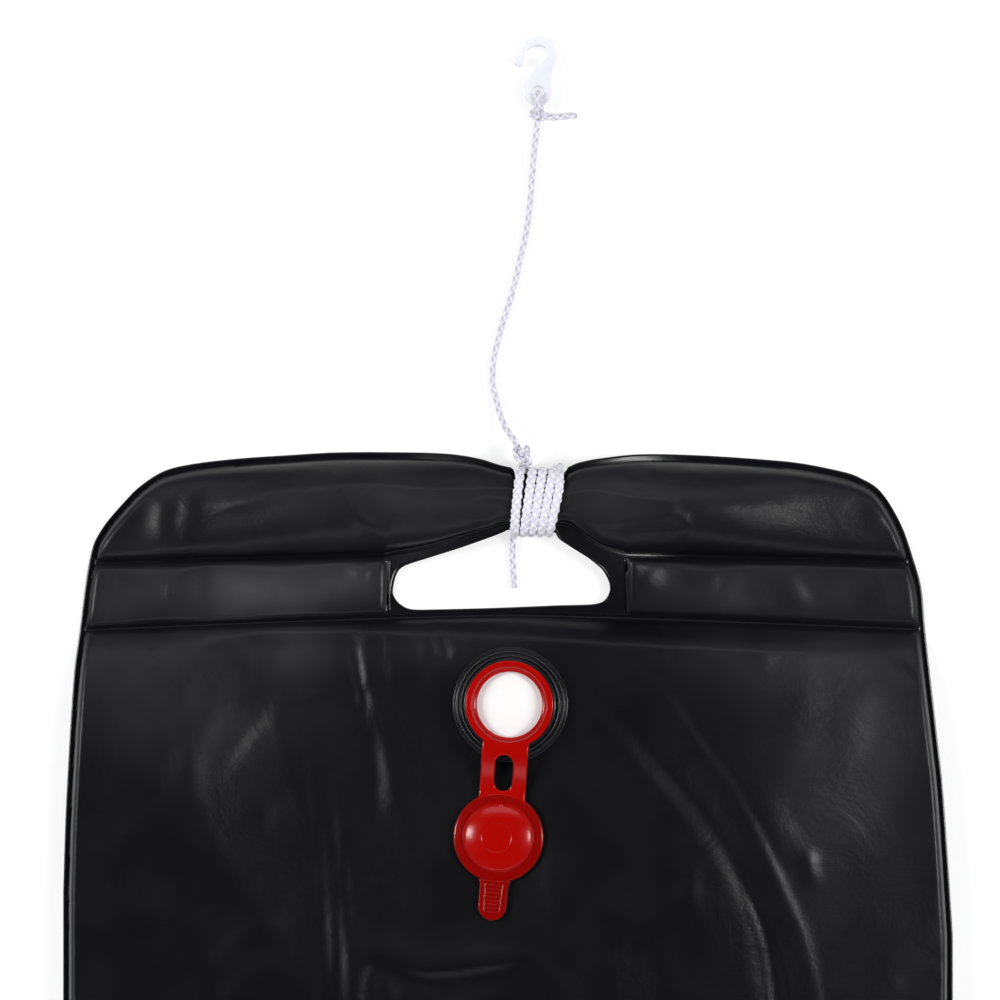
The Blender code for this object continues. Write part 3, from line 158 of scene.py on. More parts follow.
# Kind, width, height, share at the start, share at the end, and the route from the middle and the top edge
FOLDS = tuple(Fold(*row[:5], row[5:]) for row in (
    # The chamber's upper left
    (RIDGE, 7.2, 0.56, 0, 0, (-120.7, 91), (-130.6, 111.3), (-140.1, 134.7), (-146.4, 151.4), (-159, 173)),
    (RIDGE, 7.2, -0.42, 0, 0, (-128.8, 88.7), (-138.8, 106.8), (-149.6, 127), (-159, 147.3), (-168, 173)),
    (RIDGE, 7.8, 0.28, 0, 0, (-161.3, 106.8), (-171.2, 131.5), (-178.4, 156.3), (-181.6, 178.8)),
    (SHELF, 4.2, 0.92, 0, 0, (-65.3, 114), (-76.6, 106.8), (-95.5, 106.8), (-112.2, 119.4), (-124.8, 134.7),
     (-135.2, 156.3)),
    (RIDGE, 15.6, 0.5, 0, 0, (-114, 84.2), (-96, 94.2), (-80.2, 96.9), (-70.3, 106.8)),
    # The two pleats down its left
    (RIDGE, 3.4, 0.5, 0, 0.5, (-85.6, 123.9), (-86.9, 136.1), (-85.6, 165.3), (-83.3, 201.4), (-81.5, 246.4)),
    (RIDGE, 3, 0.5, 0, 0.6, (-75.2, 140.6), (-75.2, 156.3), (-73.4, 192.4), (-71.2, 223.9), (-69.4, 248.7)),
    (RIDGE, 3.4, -0.46, 0, 0.6, (-80.2, 192.4), (-77.5, 214.9), (-75.7, 248.7)),
    # The pinches and ribs below the lower weld
    (CREASE, 2.9, 0.87, 0.7, 0, (-63.1, 80.6), (-63.5, 95.5), (-64, 111.3)),
    (RIDGE, 2.9, -0.91, 0.5, 0, (-71.2, 81.5), (-67.6, 96.9), (-64.9, 111.3), (-65.8, 127)),
    (RIDGE, 4.2, 0.6, 0, 0, (-62.2, 114), (-56.8, 127), (-52.7, 141), (-50.9, 156.3), (-49.6, 174.3)),
    (RIDGE, 3.9, -0.5, 0, 0, (-63.1, 113.5), (-60.4, 131.5), (-59.5, 151.8), (-60.4, 174.3)),
    (CREASE, 3.6, 1.14, 0, 0, (-17.1, 81.5), (-21.6, 91), (-23.9, 96.9), (-30.6, 99.1), (-40.5, 98.7)),
    (RIDGE, 3.1, -0.67, 0.6, 0, (-31.5, 80.6), (-28.8, 88.7), (-25.7, 96.9)),
    (RIDGE, 3.6, 0.63, 0.8, 0, (-52.3, 80.6), (-50.5, 93.3), (-47.8, 106.8)),
    (RIDGE, 3.4, 0.63, 0.8, 0, (-37.4, 80.6), (-36, 88.7), (-35.1, 95.1)),
    # The chamber's lower left
    (RIDGE, 5.9, 0.65, 0, 0, (-140.6, 246.4), (-135.2, 236.1), (-119.8, 218.5), (-99.6, 203.2), (-91.5, 196.9)),
    (RIDGE, 6.5, 0.55, 0, 0.4, (-124.3, 250.9), (-120.7, 239.7), (-110.8, 228.4)),
    (RIDGE, 4.2, 0.32, 0, 0, (-110.8, 173.4), (-109, 163.1), (-104.5, 154.1)),
    # The wave below the cap
    (SHELF, 3.7, 2.05, 0.3, 0.4, (26.6, 247.8), (18.9, 236.1), (6.8, 226.2), (-3.6, 227.1), (-14.9, 228.9),
     (-36, 231.1), (-48.7, 227.1), (-57.7, 224.3), (-64, 227.1), (-66.7, 235.2), (-68, 247.8)),
    (RIDGE, 6.9, -1.06, 0, 0, (-55.4, 236.5), (-41.9, 235.2), (-23.9, 239.7), (-3.6, 236.5), (9.9, 235.2)),
    (RIDGE, 4.6, 0.86, 0, 0.3, (-58.6, 230.7), (-55.4, 239.7), (-48.7, 247.8)),
    # The chamber's middle
    (RIDGE, 6.5, 0.59, 0, 0, (21.2, 167.6), (21.6, 187.9), (23, 212.6)),
    (RIDGE, 6.5, 0.4, 0, 0, (36.9, 200.5), (46, 202.7), (59.5, 200.5)),
    (RIDGE, 4.8, 0.78, 0, 0, (79.3, 173.4), (81.1, 187.9), (81.1, 211.3)),
    (RIDGE, 5.6, 0.36, 0, 0.3, (44.1, 214.9), (45.1, 228.4), (46.9, 247.8)),
    (RIDGE, 7, -0.4, 0, 0.3, (59.5, 212.6), (61.7, 228.4), (64, 247.8)),
    # The round imprint to the right of the filler
    (SHELF, 2.8, 0.83, 0.2, 0.6, (36, 80.6), (42.8, 85.1), (53.2, 92.8), (70.3, 109.9), (86, 132.9), (102.3, 155.4),
     (112.6, 173.9), (123.4, 197.8), (132.4, 218.9), (138.8, 247.8)),
    (RIDGE, 6, -1.57, 0, 0.8, (28.8, 96.9), (36.9, 106.8), (50.5, 120.3), (70.3, 140.6), (87.8, 160.8),
     (103.2, 185.6), (113.5, 210.4), (120.3, 247.8)),
    (CREASE, 2.1, 0.72, 0, 0.8, (93.7, 168.9), (105.9, 188.8), (115.3, 207.2), (123, 229.8), (126.6, 248.7)),
    (CREASE, 1.8, 0.57, 0, 0.8, (101.4, 185.6), (108.1, 203.6), (114, 223), (117.6, 248.7)),
    (RIDGE, 4.6, 0.35, 0, 0, (34.7, 111.3), (50.5, 130.2), (66.2, 149.6), (82, 170.7), (91.9, 192.4)),
    # The chamber's right side
    (SHELF, 3.6, 0.7, 0, 0, (125.2, 188.8), (122.5, 176.6), (118, 165.3), (111.7, 156.3), (103.6, 143.7)),
    (RIDGE, 3.6, 0.96, 0, 0, (132.4, 174.3), (134.2, 182.5), (137.4, 196.9)),
    (RIDGE, 7.8, 0.35, 0, 0, (164, 94.2), (168, 102.3), (157.7, 113.5), (152.3, 130.2), (148.7, 151.8)),
    (CREASE, 4.2, -0.56, 0, 0.4, (164, 89.6), (173, 96), (188.3, 105)),
    (RIDGE, 9.1, 0.36, 0, 0, (82, 91), (93.3, 111.3), (105.4, 130.2), (118, 142.8)),
    (RIDGE, 10.4, 0.36, 0, 0, (127, 84.2), (131.5, 102.3), (127.9, 124.8), (134.2, 147.3)),
    (SHELF, 4.4, 0.5, 0.4, 0, (152.3, 244.6), (157.7, 236.5), (168, 227.1), (178.8, 218.5), (189.7, 211.3),
     (191, 196.9), (190.6, 175.2)),
    (RIDGE, 4.4, 0.38, 0.5, 0, (164, 247.8), (169.4, 241.9), (178.8, 235.2)),
    # Short ribs that start at the lower weld
    (RIDGE, 4.2, 0.58, 0.7, 0, (-156.8, 82.4), (-157.7, 91), (-161.3, 101.4)),
    (RIDGE, 4.8, 0.72, 0.7, 0, (-126.1, 80.6), (-120.7, 88.7), (-110.8, 96.9)),
    (RIDGE, 4.2, 0.58, 0.7, 0, (64, 78.8), (67.1, 88.7), (73.9, 100.5)),
    (RIDGE, 5, 0.58, 0.7, 0, (113.5, 80.6), (114.9, 91), (112.6, 102.3)),
    # The top pocket's left half
    (CREASE, 3, 1.22, 0.5, 0.8, (-75.2, 13.1), (-64.4, 13.1), (-53.6, 14), (-38.3, 16.2), (-22.5, 16.7), (1.8, 15.8)),
    (RIDGE, 3.9, 0.85, 0.6, 0, (-75.2, 14), (-89.2, 16.2), (-105.4, 18.9), (-131.5, 24.8), (-145.5, 26.6)),
    (RIDGE, 3.4, 1.1, 0.2, 0, (-74.8, 18.9), (-70.3, 25.7), (-64, 31.1), (-55.9, 37.4), (-48.7, 43.2)),
    (CREASE, 1.6, 0.35, 0, 0, (-74.8, 7.7), (-74.8, 13.1), (-73.9, 21.2)),
    (RIDGE, 5.2, 0.8, 0, 0, (-59.9, 24.8), (-48.7, 26.6), (-35.1, 25.7), (-23.4, 23.9)),
    (CREASE, 1.5, 0.98, 0, 1, (-19.8, 25.7), (-15.3, 22.5), (-9.9, 20.7), (-3.6, 21.2), (1.8, 22.1)),
    (CREASE, 1.3, 0.84, 0, 1, (-13.5, 24.3), (-8.1, 23.9), (-2.7, 25.7), (1.8, 27)),
    (CREASE, 1.5, 0.91, 0, 1, (-23.4, 27.5), (-15.3, 29.7), (-6.3, 30.6), (1.8, 30.6)),
    (CREASE, 1.3, 0.63, 0, 1, (-10.4, 27.5), (-4.5, 28.4), (1.8, 28.8)),
    (RIDGE, 4.8, 1.02, 0, 0, (-151.4, 13.1), (-154.5, 23.4), (-155.4, 34.7), (-153.2, 44.6)),
    (RIDGE, 4.8, 0.75, 0, 0, (-145.1, 9.5), (-143.3, 20.3), (-145.1, 33.8), (-146.9, 43.7)),
    (CREASE, 2.9, 0.88, 0, 0, (-98.2, 7.7), (-91.9, 5.4), (-88.3, 6.8), (-85.6, 9.5)),
    (RIDGE, 6.5, 0.72, 0, 0, (-174.8, 39.2), (-161.3, 42.8), (-134.2, 41), (-111.7, 39.6)),
    (RIDGE, 5.2, 0.5, 0, 0, (-179.3, 39.2), (-171.2, 23.4), (-161.3, 12.2)),
    # The top pocket's right half
    (CREASE, 2.8, 1.2, 0.9, 0.6, (23.4, 18.9), (31.5, 18), (38.7, 17.1), (48.2, 18.9), (56.8, 20.7), (73.4, 22.1)),
    (CREASE, 2.5, 1.12, 0.9, 0.6, (23.4, 27.9), (31.5, 30.2), (41, 31.5), (50.5, 30.2), (56.8, 29.3), (73.4, 27.5)),
    (RIDGE, 2.9, 0.91, 0.6, 0, (73, 27), (77.5, 29.7), (79.3, 33.3), (77, 36.5), (72.1, 37.8)),
    (RIDGE, 3.4, 0.86, 0, 0, (52.3, 9.5), (57.7, 13.1), (64, 16.2)),
    (RIDGE, 3.4, 0.94, 0, 0, (76.6, 5), (81.1, 6.3), (83.8, 9.9), (83.3, 14)),
    (RIDGE, 4.7, 0.4, 0.5, 0, (73.4, 24.3), (86.5, 24.8), (102.3, 24.8), (120.3, 24.3), (141.5, 21.2)),
    (CREASE, 1.4, 0.77, 1, 0, (23.4, 22.5), (28.8, 23.9), (34.2, 24.8)),
    (CREASE, 1.4, 0.77, 1, 0, (21.6, 33.8), (27.9, 35.6), (34.2, 38.7)),
    (RIDGE, 6.5, 0.5, 0, 0, (162.2, 18.9), (165.8, 27.9), (169.4, 36.9)),
    # The two side pockets
    (RIDGE, 6.3, -0.97, 0.5, 0.5, (-137, 50.9), (-136.1, 58.1), (-138.8, 68.5)),
    (CREASE, 2.8, 0.86, 0, 0, (-153.2, 55), (-151.8, 61.7), (-153.2, 68.9)),
    (RIDGE, 11.2, 0.96, 0, 0, (-124.3, 58.6), (-110.8, 61.7), (-93.7, 62.6), (-85.6, 59.5)),
    (RIDGE, 5, -0.79, 0.5, 0, (-77.5, 50), (-76.6, 57.2), (-80.2, 66.2)),
    (RIDGE, 5, 0.96, 0, 0, (-71.2, 56.3), (-66.7, 54.1), (-60.4, 55.4)),
    (RIDGE, 8.4, 0.88, 0, 0, (122.5, 67.1), (127.9, 62.6), (134.2, 58.1)),
    (RIDGE, 7, -0.56, 0.5, 0.5, (105.4, 50.9), (106.8, 59.5), (103.6, 69.8)),
    (RIDGE, 5.6, 0.79, 0, 0, (59.5, 53.6), (64, 59.5), (66.2, 66.2)),
    (RIDGE, 7, 0.7, 0, 0, (82, 61.7), (88.7, 58.6), (96.4, 60.8)),
    (RIDGE, 7, -0.56, 0.4, 0.4, (154.1, 52.7), (155.4, 61.7), (153.2, 73)),
))


@dataclass(frozen=True)
class PaintedSheenPatch:
    """A soft patch of painted sheen on the film, a lighter colour that stands in for soft reflections, in millimetres
    from the middle and down from the top edge.
    """

    across: float
    down: float
    half_wide: float
    half_high: float
    strength: float


# Patches of painted sheen: lighter film colour that stands in for soft reflections
PAINTED_SHEEN_PATCHES = tuple(PaintedSheenPatch(*row) for row in (
    # The top pocket
    (-100, 18, 75, 18, 0.2), (-38, 24, 38, 12, 0.2), (45, 20, 36, 15, 0.26), (130, 20, 60, 18, 0.12),
    # The side pockets
    (-166, 59, 26, 16, 0.34), (-106, 60, 30, 13, 0.75), (-68, 57, 18, 11, 0.4),
    (112, 62, 36, 13, 0.3), (165, 58, 26, 13, 0.13), (75, 60, 24, 12, 0.1),
    # The water chamber
    (-150, 95, 60, 28, 0.2), (-97, 88, 22, 10, 0.3), (-140, 128, 45, 22, 0.1), (-30, 88, 36, 9, 0.14),
    (118, 92, 48, 14, 0.18), (158, 122, 44, 50, 0.18), (160, 200, 34, 60, 0.1),
))


def ease(value: Places) -> Places:
    """Return 0 below 0, 1 above 1, and a smooth step between."""
    held = np.clip(value, 0.0, 1.0)
    return held * held * (3 - 2 * held)


def ramp(value: Places, knee: float = 0.15) -> Places:
    """Return an even rise from 0 to 1 with two soft knees."""
    held = np.clip(value, 0.0, 1.0)
    low = np.minimum(held, 1 - held)
    part = np.where(low < knee, low**2 / (2 * knee), low - knee / 2) / (1 - knee)
    return np.where(held < 0.5, part, 1 - part)


def shoulder(distance: Places, width: float) -> Places:
    """Return the rounded rise of a puffed sheet: 0 at its weld, 1 a width away."""
    share = np.clip(distance / width, 0.0, 1.0)
    return np.sqrt(1 - (1 - share) ** 2)


def smooth_line(points: Sequence, steps: int, closed: bool = False) -> Places:
    """Lay points along a smooth curve that passes through all the places given.

    Args:
        points: The places that the curve passes through.
        steps: How many points there are from one place to the next.
        closed: Whether the curve runs back to its start.

    Returns:
        The curve's points, one a row.
    """
    line = np.asarray(points, float)
    if closed:
        before, start, stop, after = (np.roll(line, shift, axis=0) for shift in (1, 0, -1, -2))
    else:
        longer = np.vstack([2 * line[0] - line[1], line, 2 * line[-1] - line[-2]])
        before, start, stop, after = longer[:-3], longer[1:-2], longer[2:-1], longer[3:]
    made = [
        0.5 * (2 * start + (stop - before) * t + (2 * before - 5 * start + 4 * stop - after) * t**2
               + (3 * start - before - 3 * stop + after) * t**3)
        for t in np.arange(steps) / steps
    ]
    curve = np.stack(made, axis=1).reshape(-1, line.shape[1])
    return curve if closed else np.vstack([curve, line[-1:]])


def even_line(points: Sequence, spacing: float, closed: bool = False) -> Places:
    """Lay points about one spacing apart along the smooth curve through the points given.

    Args:
        points: The places that the curve passes through.
        spacing: The step along the curve.
        closed: Whether the curve runs back to its start, which is then its last point too.

    Returns:
        The even points, one a row.
    """
    return spaced(smooth_line(points, 24, closed), spacing, closed)


def spaced(points: Places, spacing: float, closed: bool = False) -> Places:
    """Lay points about one spacing apart along straight runs between the points given.

    Args:
        points: The line's points.
        spacing: The step along it.
        closed: Whether the line runs back to its start, which is then its last point too.

    Returns:
        The even points, one a row.
    """
    line = np.vstack([points, points[:1]]) if closed else points
    along = run_of(line)
    at = np.linspace(0, along[-1], max(2, round(along[-1] / spacing)) + 1)
    return np.column_stack([np.interp(at, along, line[:, k]) for k in range(line.shape[1])])


def run_of(points: Places) -> Places:
    """Return how far along the line each of its points is."""
    return np.concatenate([[0], np.cumsum(np.linalg.norm(np.diff(points, axis=0), axis=1))])


def arc(middle: Pair, radius: float, start: float, end: float, steps: int) -> Places:
    """Return points round an arc, its angles in degrees."""
    turns = np.radians(np.linspace(start, end, steps + 1))
    return np.column_stack([middle[0] + radius * np.cos(turns), middle[1] + radius * np.sin(turns)])


def scaled(shares: Iterable, across: float, down: float) -> list[Pair]:
    """Turn a table of shares into places: across the bag, and depth below its top edge."""
    return [(x * across, d * down) for x, d in shares]


def table_line(table: Sequence) -> Callable[[Places], Places]:
    """Return a function that reads the smooth curve through a table of (x, value) places."""
    line = smooth_line(table, 12)
    return lambda x: np.interp(x, line[:, 0], line[:, 1])


def nearest_on(loop: Places, at: Places, closed: bool = True) -> tuple[Places, Places, Places, Places]:
    """Find the nearest place on a line for each of many places.

    Args:
        loop: The line's points in the XY plane.
        at: The places, one a row.
        closed: Whether the line runs back to its start.

    Returns:
        The distances, the nearest places, the share of the way along, and on which side each place is:
        1 to the left of the line's run and -1 to the right of it.
    """
    start = loop if closed else loop[:-1]
    run = (np.roll(loop, -1, axis=0) if closed else loop[1:]) - start[: len(loop)]
    lengths = np.linalg.norm(run, axis=1)
    before = np.concatenate([[0], np.cumsum(lengths)[:-1]])
    found = []
    for low in range(0, len(at), 4000):
        part = at[low: low + 4000, None, :]
        t = np.clip(((part - start) * run).sum(2) / (lengths**2), 0, 1)
        foot = start + t[..., None] * run
        gap = np.linalg.norm(part - foot, axis=2)
        best = gap.argmin(1)
        row = np.arange(len(best))
        away = part[:, 0, :] - foot[row, best]
        turn = run[best, 0] * away[:, 1] - run[best, 1] * away[:, 0]
        share = (before[best] + t[row, best] * lengths[best]) / lengths.sum()
        found.append(np.column_stack([gap[row, best], foot[row, best], share, np.sign(turn)]))
    made = np.vstack(found)
    return made[:, 0], made[:, 1:3], made[:, 3], made[:, 4]


def inside_of(loop: Places, at: Places) -> Places:
    """Say for each place whether it lies inside a closed line."""
    start, stop = loop, np.roll(loop, -1, axis=0)
    rise = np.where(stop[:, 1] == start[:, 1], 1, stop[:, 1] - start[:, 1])
    made = []
    for low in range(0, len(at), 4000):
        x, y = at[low: low + 4000, 0, None], at[low: low + 4000, 1, None]
        crosses = (start[:, 1] > y) != (stop[:, 1] > y)
        made.append((crosses & (x < start[:, 0] + (y - start[:, 1]) / rise * (stop - start)[:, 0])).sum(1) % 2 == 1)
    return np.concatenate(made)


def add_node(tree: Tree, kind: str, inputs: dict | None = None, **settings) -> bpy.types.Node:
    """Add a shader node.

    Args:
        tree: The node tree that it goes into.
        kind: The node's type, without the words that all shader nodes' types start with.
        inputs: Its inputs by name or number: a value, or another node's output to link.
        **settings: Its other settings.

    Returns:
        The node.
    """
    made = tree.nodes.new("ShaderNode" + kind)
    for key, value in settings.items():
        setattr(made, key, value)
    for key, value in (inputs or {}).items():
        if isinstance(value, Socket):
            tree.links.new(value, made.inputs[key])
        else:
            made.inputs[key].default_value = value
    return made


def blended(tree: Tree, amount: Socket, *stops: tuple) -> Socket:
    """Blend colours by an amount.

    Args:
        tree: The node tree that it goes into.
        amount: The output that the blend follows.
        *stops: Each stop's amount and colour, the lowest first.

    Returns:
        The blended colour.
    """
    made = add_node(tree, "ValToRGB", {"Fac": amount})
    elements = made.color_ramp.elements
    elements.remove(elements[1])
    elements[0].position, elements[0].color = stops[0][0], (*stops[0][1], 1)
    for at, colour in stops[1:]:
        elements.new(at).color = (*colour, 1)
    return made.outputs["Color"]


@dataclass(frozen=True)
class Finish:
    """A moulded or sheet finish: its own colour and a second one, its gloss, and the fine relief in its surface. The
    second colour drifts at random over a moulding, but it is painted shade on the cord and painted sheen on the film.
    """

    name: str
    slot: str
    colour: Triple
    tint_and_painted_light: Triple
    roughness: Pair
    patch: float
    grain: float
    grain_depth: float
    crease: float
    crease_depth: float
    coat: float = 0.0
    coat_roughness: float = 0.12
    subsurface: float = 0.0
    subsurface_depth: float = 2 * MM
    specular: float = 0.5

    def relief(self, tree: Tree, place: Socket) -> Socket:
        """Build the fine grain over the soft creases.

        Args:
            tree: The material's node tree.
            place: The coordinates that the patterns follow.

        Returns:
            The normal that carries both.
        """
        soft = add_node(tree, "TexNoise", {"Vector": place, "Scale": self.crease, "Detail": 4.0,
                                           "Roughness": 0.55, "Distortion": 0.7})
        lower = add_node(tree, "Bump", {"Height": soft.outputs["Fac"], "Strength": 1.0,
                                        "Distance": self.crease_depth})
        fine = add_node(tree, "TexNoise", {"Vector": place, "Scale": self.grain, "Detail": 3.0, "Roughness": 0.6})
        upper = add_node(tree, "Bump", {"Height": fine.outputs["Fac"], "Strength": 1.0,
                                        "Distance": self.grain_depth, "Normal": lower.outputs["Normal"]})
        return upper.outputs["Normal"]

    def colour_of(self, tree: Tree, place: Socket) -> Socket:
        """Build the colour, which drifts a little over the piece."""
        drift = add_node(tree, "TexNoise", {"Vector": place, "Scale": self.patch, "Detail": 3.0})
        return blended(tree, drift.outputs["Fac"], (0.35, self.tint_and_painted_light), (0.65, self.colour))

    def build(self) -> bpy.types.Material:
        """Make the material.

        Returns:
            The material, with its patterns on the piece's own coordinates.
        """
        made = bpy.data.materials.new(self.name)
        made.use_nodes = True
        tree = made.node_tree
        shader = tree.nodes["Principled BSDF"]
        place = add_node(tree, "TexCoord").outputs["Object"]
        tree.links.new(self.colour_of(tree, place), shader.inputs["Base Color"])
        wear = add_node(tree, "TexNoise", {"Vector": place, "Scale": self.patch * 3, "Detail": 4.0})
        gloss = add_node(tree, "MapRange", {"Value": wear.outputs["Fac"], "From Min": 0.3, "From Max": 0.7,
                                            "To Min": self.roughness[0], "To Max": self.roughness[1]})
        tree.links.new(gloss.outputs["Result"], shader.inputs["Roughness"])
        tree.links.new(self.relief(tree, place), shader.inputs["Normal"])
        for name, value in (("Specular IOR Level", self.specular), ("Coat Weight", self.coat),
                            ("Coat Roughness", self.coat_roughness), ("Subsurface Weight", self.subsurface),
                            ("Subsurface Scale", self.subsurface_depth)):
            shader.inputs[name].default_value = value
        return made


@dataclass(frozen=True)
class CordFinish(Finish):
    """The braided cord's finish: fine fibres along each strand, and painted shade between the strands."""

    fibres: float = 6.0

    def colour_of(self, tree: Tree, place: Socket) -> Socket:
        """Build the colour from how far the surface stands out of the braid: darker and lavender where it lies deep, as
        painted shade.
        """
        depth = add_node(tree, "Attribute", attribute_name="relief")
        return blended(tree, depth.outputs["Fac"], (0.25, self.tint_and_painted_light), (0.8, self.colour))

    def relief(self, tree: Tree, place: Socket) -> Socket:
        """Build the fibres, which run along each strand on the strand's own map."""
        run = add_node(tree, "UVMap", uv_map="UVMap")
        fibre = add_node(tree, "TexWave", {"Vector": run.outputs["UV"], "Scale": self.fibres,
                                           "Distortion": 1.5, "Detail": 2.0})
        made = add_node(tree, "Bump", {"Height": fibre.outputs["Fac"], "Strength": 1.0, "Distance": self.grain_depth})
        return made.outputs["Normal"]


@dataclass(frozen=True)
class FilmFinish(Finish):
    """The film's finish, with a faint cloudy painted sheen as its second colour where the sheet lies slack."""

    cloud: float = 34.0

    def colour_of(self, tree: Tree, place: Socket) -> Socket:
        """Build the colour from the film's own and its painted sheen, which stands in for soft reflections."""
        cloud = add_node(tree, "TexNoise", {"Vector": place, "Scale": self.cloud, "Detail": 2.0})
        spread = add_node(tree, "MapRange", {"Value": cloud.outputs["Fac"], "From Min": 0.3,
                                             "From Max": 0.7, "To Min": 0.55, "To Max": 1.25})
        amount = add_node(tree, "Attribute", attribute_name="painted_sheen")
        share = add_node(tree, "MapRange", {"Value": amount.outputs["Fac"], "To Max": spread.outputs["Result"]})
        return blended(tree, share.outputs["Result"], (0.0, self.colour), (1.0, self.tint_and_painted_light))


# The film's second colour, a lighter grey, is painted sheen: it stands in for soft reflections on the slack film
FILM = FilmFinish("black_film", "black_sheet", (0.0038, 0.0038, 0.0051), (0.06, 0.06, 0.064),
                  (0.31, 0.38), 14, 1000, 0.045 * MM, 36, 0.6 * MM, specular=0.22)
WELD = Finish("black_weld", "black_sheet", (0.0045, 0.0045, 0.0055), (0.0035, 0.0035, 0.0045), (0.16, 0.22),
              40, 900, 0.004 * MM, 160, 0.02 * MM, specular=0.32)
MOULDING = Finish("black_moulding", "black_moulding", (0.0036, 0.0036, 0.0046), (0.003, 0.003, 0.004),
                  (0.28, 0.34), 60, 1200, 0.006 * MM, 200, 0.02 * MM, specular=0.2)
RED = Finish("red_moulding", "red_plastic", (0.39, 0.0018, 0.0005), (0.375, 0.0016, 0.0004), (0.15, 0.19),
             30, 1600, 0.003 * MM, 120, 0.012 * MM, specular=0.28)
# A darker copy of the red for the cap's thin flange and tab: painted shade, standing in for the light that the thin
# plastic lets through and loses
SHADED_RED = replace(RED, name="shaded_red_moulding", colour=(0.25, 0.0012, 0.0004), tint_and_painted_light=(0.235, 0.001, 0.0003))
WHITE = Finish("white_moulding", "white_plastic", (0.94, 0.94, 0.94), (0.92, 0.92, 0.92), (0.4, 0.5),
               60, 1200, 0.008 * MM, 150, 0.04 * MM)
HOOK = Finish("milky_moulding", "hook_plastic", (0.87, 0.89, 0.96), (0.82, 0.845, 0.93), (0.26, 0.38),
              90, 1400, 0.01 * MM, 220, 0.08 * MM, coat=0.15, subsurface=0.1)
# The cord's second colour, a lavender grey, is painted shade between the strands
CORD = CordFinish("white_braid", "white_cord", (0.93, 0.925, 0.965), (0.66, 0.63, 0.82), (0.7, 0.85),
                  60, 1, 0.05 * MM, 1, 0.0, specular=0.3)


def places_of(mesh: Mesh) -> Places:
    """Return a mesh's vertices, one a row."""
    at = np.empty(len(mesh.vertices) * 3, np.float32)
    mesh.vertices.foreach_get("co", at)
    return at.reshape(-1, 3)


def grid_mesh(places: Places, marks: Places | None = None) -> Mesh:
    """Make a grid of quads and set it to an array of places.

    Args:
        places: The places, as rows by columns by three.
        marks: A value for each place, kept as the attribute "relief".

    Returns:
        The mesh, with an even UV map along its columns and rows.
    """
    rows, columns = places.shape[:2]
    shape = bmesh.new()
    shape.loops.layers.uv.new("UVMap")
    bmesh.ops.create_grid(shape, x_segments=columns - 1, y_segments=rows - 1, size=1, calc_uvs=True)
    made = bpy.data.meshes.new("grid")
    shape.to_mesh(made)
    shape.free()
    at = places_of(made)
    column = np.rint((at[:, 0] + 1) / 2 * (columns - 1)).astype(int)
    row = np.rint((at[:, 1] + 1) / 2 * (rows - 1)).astype(int)
    made.vertices.foreach_set("co", places[row, column].astype(np.float32).ravel())
    if marks is not None:
        made.attributes.new("relief", "FLOAT", "POINT").data.foreach_set(
            "value", marks[row, column].astype(np.float32))
    made.update()
    return made


def joined(meshes: Iterable[Mesh]) -> Shape:
    """Put meshes into one bmesh, and remove them."""
    shape = bmesh.new()
    for mesh in meshes:
        shape.from_mesh(mesh)
        bpy.data.meshes.remove(mesh)
    return shape


def closed_up(shape: Shape, distance: float = 0.002 * MM) -> Shape:
    """Merge a shape's seams and poles, and point its faces outwards."""
    bmesh.ops.remove_doubles(shape, verts=shape.verts, dist=distance)
    bmesh.ops.dissolve_degenerate(shape, edges=shape.edges, dist=distance)
    bmesh.ops.recalc_face_normals(shape, faces=shape.faces)
    return shape


def thickened(shape: Shape, faces: Sequence, thick: float, soft: float, steps: int, held: bool) -> None:
    """Raise flat faces to a slab, and round the slab's edges.

    Args:
        shape: The shape that the faces are in.
        faces: The faces.
        thick: The slab's thickness.
        soft: The radius that its edges are rounded by.
        steps: How many steps a rounded edge has.
        held: Whether a short side holds that radius back.
    """
    raised = bmesh.ops.extrude_face_region(shape, geom=faces)
    lifted = [item for item in raised["geom"] if isinstance(item, bmesh.types.BMVert)]
    bmesh.ops.translate(shape, vec=(0, 0, thick), verts=lifted)
    bmesh.ops.recalc_face_normals(shape, faces=shape.faces)
    edges = [edge for edge in shape.edges if edge.calc_face_angle(0) > SHARP_EDGE]
    bmesh.ops.bevel(shape, geom=edges, offset=soft, segments=steps, profile=0.5, affect="EDGES", material=-1,
                    clamp_overlap=held)


def swept(route: Places, profile: Places, closed: bool = False, taper: float = 0.0) -> Places:
    """Carry an upright profile along a route.

    Args:
        route: The route's points. The profile's first axis is to the right of its run, its second is up.
        profile: The profile's points, which are closed by repeating the first.
        closed: Whether the route's last point is its first.
        taper: The length at each end over which the profile narrows to a point.

    Returns:
        The places as rows of one profile each.
    """
    ahead = np.gradient(route, axis=0)
    if closed:
        ahead[0] = ahead[-1] = route[1] - route[-2]
    side = np.column_stack([ahead[:, 1], -ahead[:, 0]])
    side /= np.linalg.norm(side, axis=1)[:, None]
    size = np.ones(len(route))
    if taper:
        along = run_of(route)
        size = np.sqrt(np.clip(np.minimum(along, along[-1] - along) / taper, 0, 1) * 0.999 + 0.001)
    loop = np.vstack([profile, profile[:1]])
    across = (side[:, None, :] * loop[None, :, :1]) * size[:, None, None]
    made = np.repeat(route[:, None, :], len(loop), axis=1)
    made[..., :2] += across
    made[..., 2] += loop[None, :, 1] * size[:, None]
    return made


def tube(route: Places, radius: Places, sides: int, closed: bool = False) -> Places:
    """Carry a round section along a route.

    Args:
        route: The route's points.
        radius: The section's radius at each point.
        sides: How many sides it has.
        closed: Whether the route's last point is its first.

    Returns:
        The places as rows of one section each.
    """
    side, up = frames_along(route, closed)
    turns = np.linspace(0, 2 * math.pi, sides + 1)
    ring = side[:, None, :] * np.cos(turns)[:, None] + up[:, None, :] * np.sin(turns)[:, None]
    return route[:, None, :] + ring * np.asarray(radius)[:, None, None]


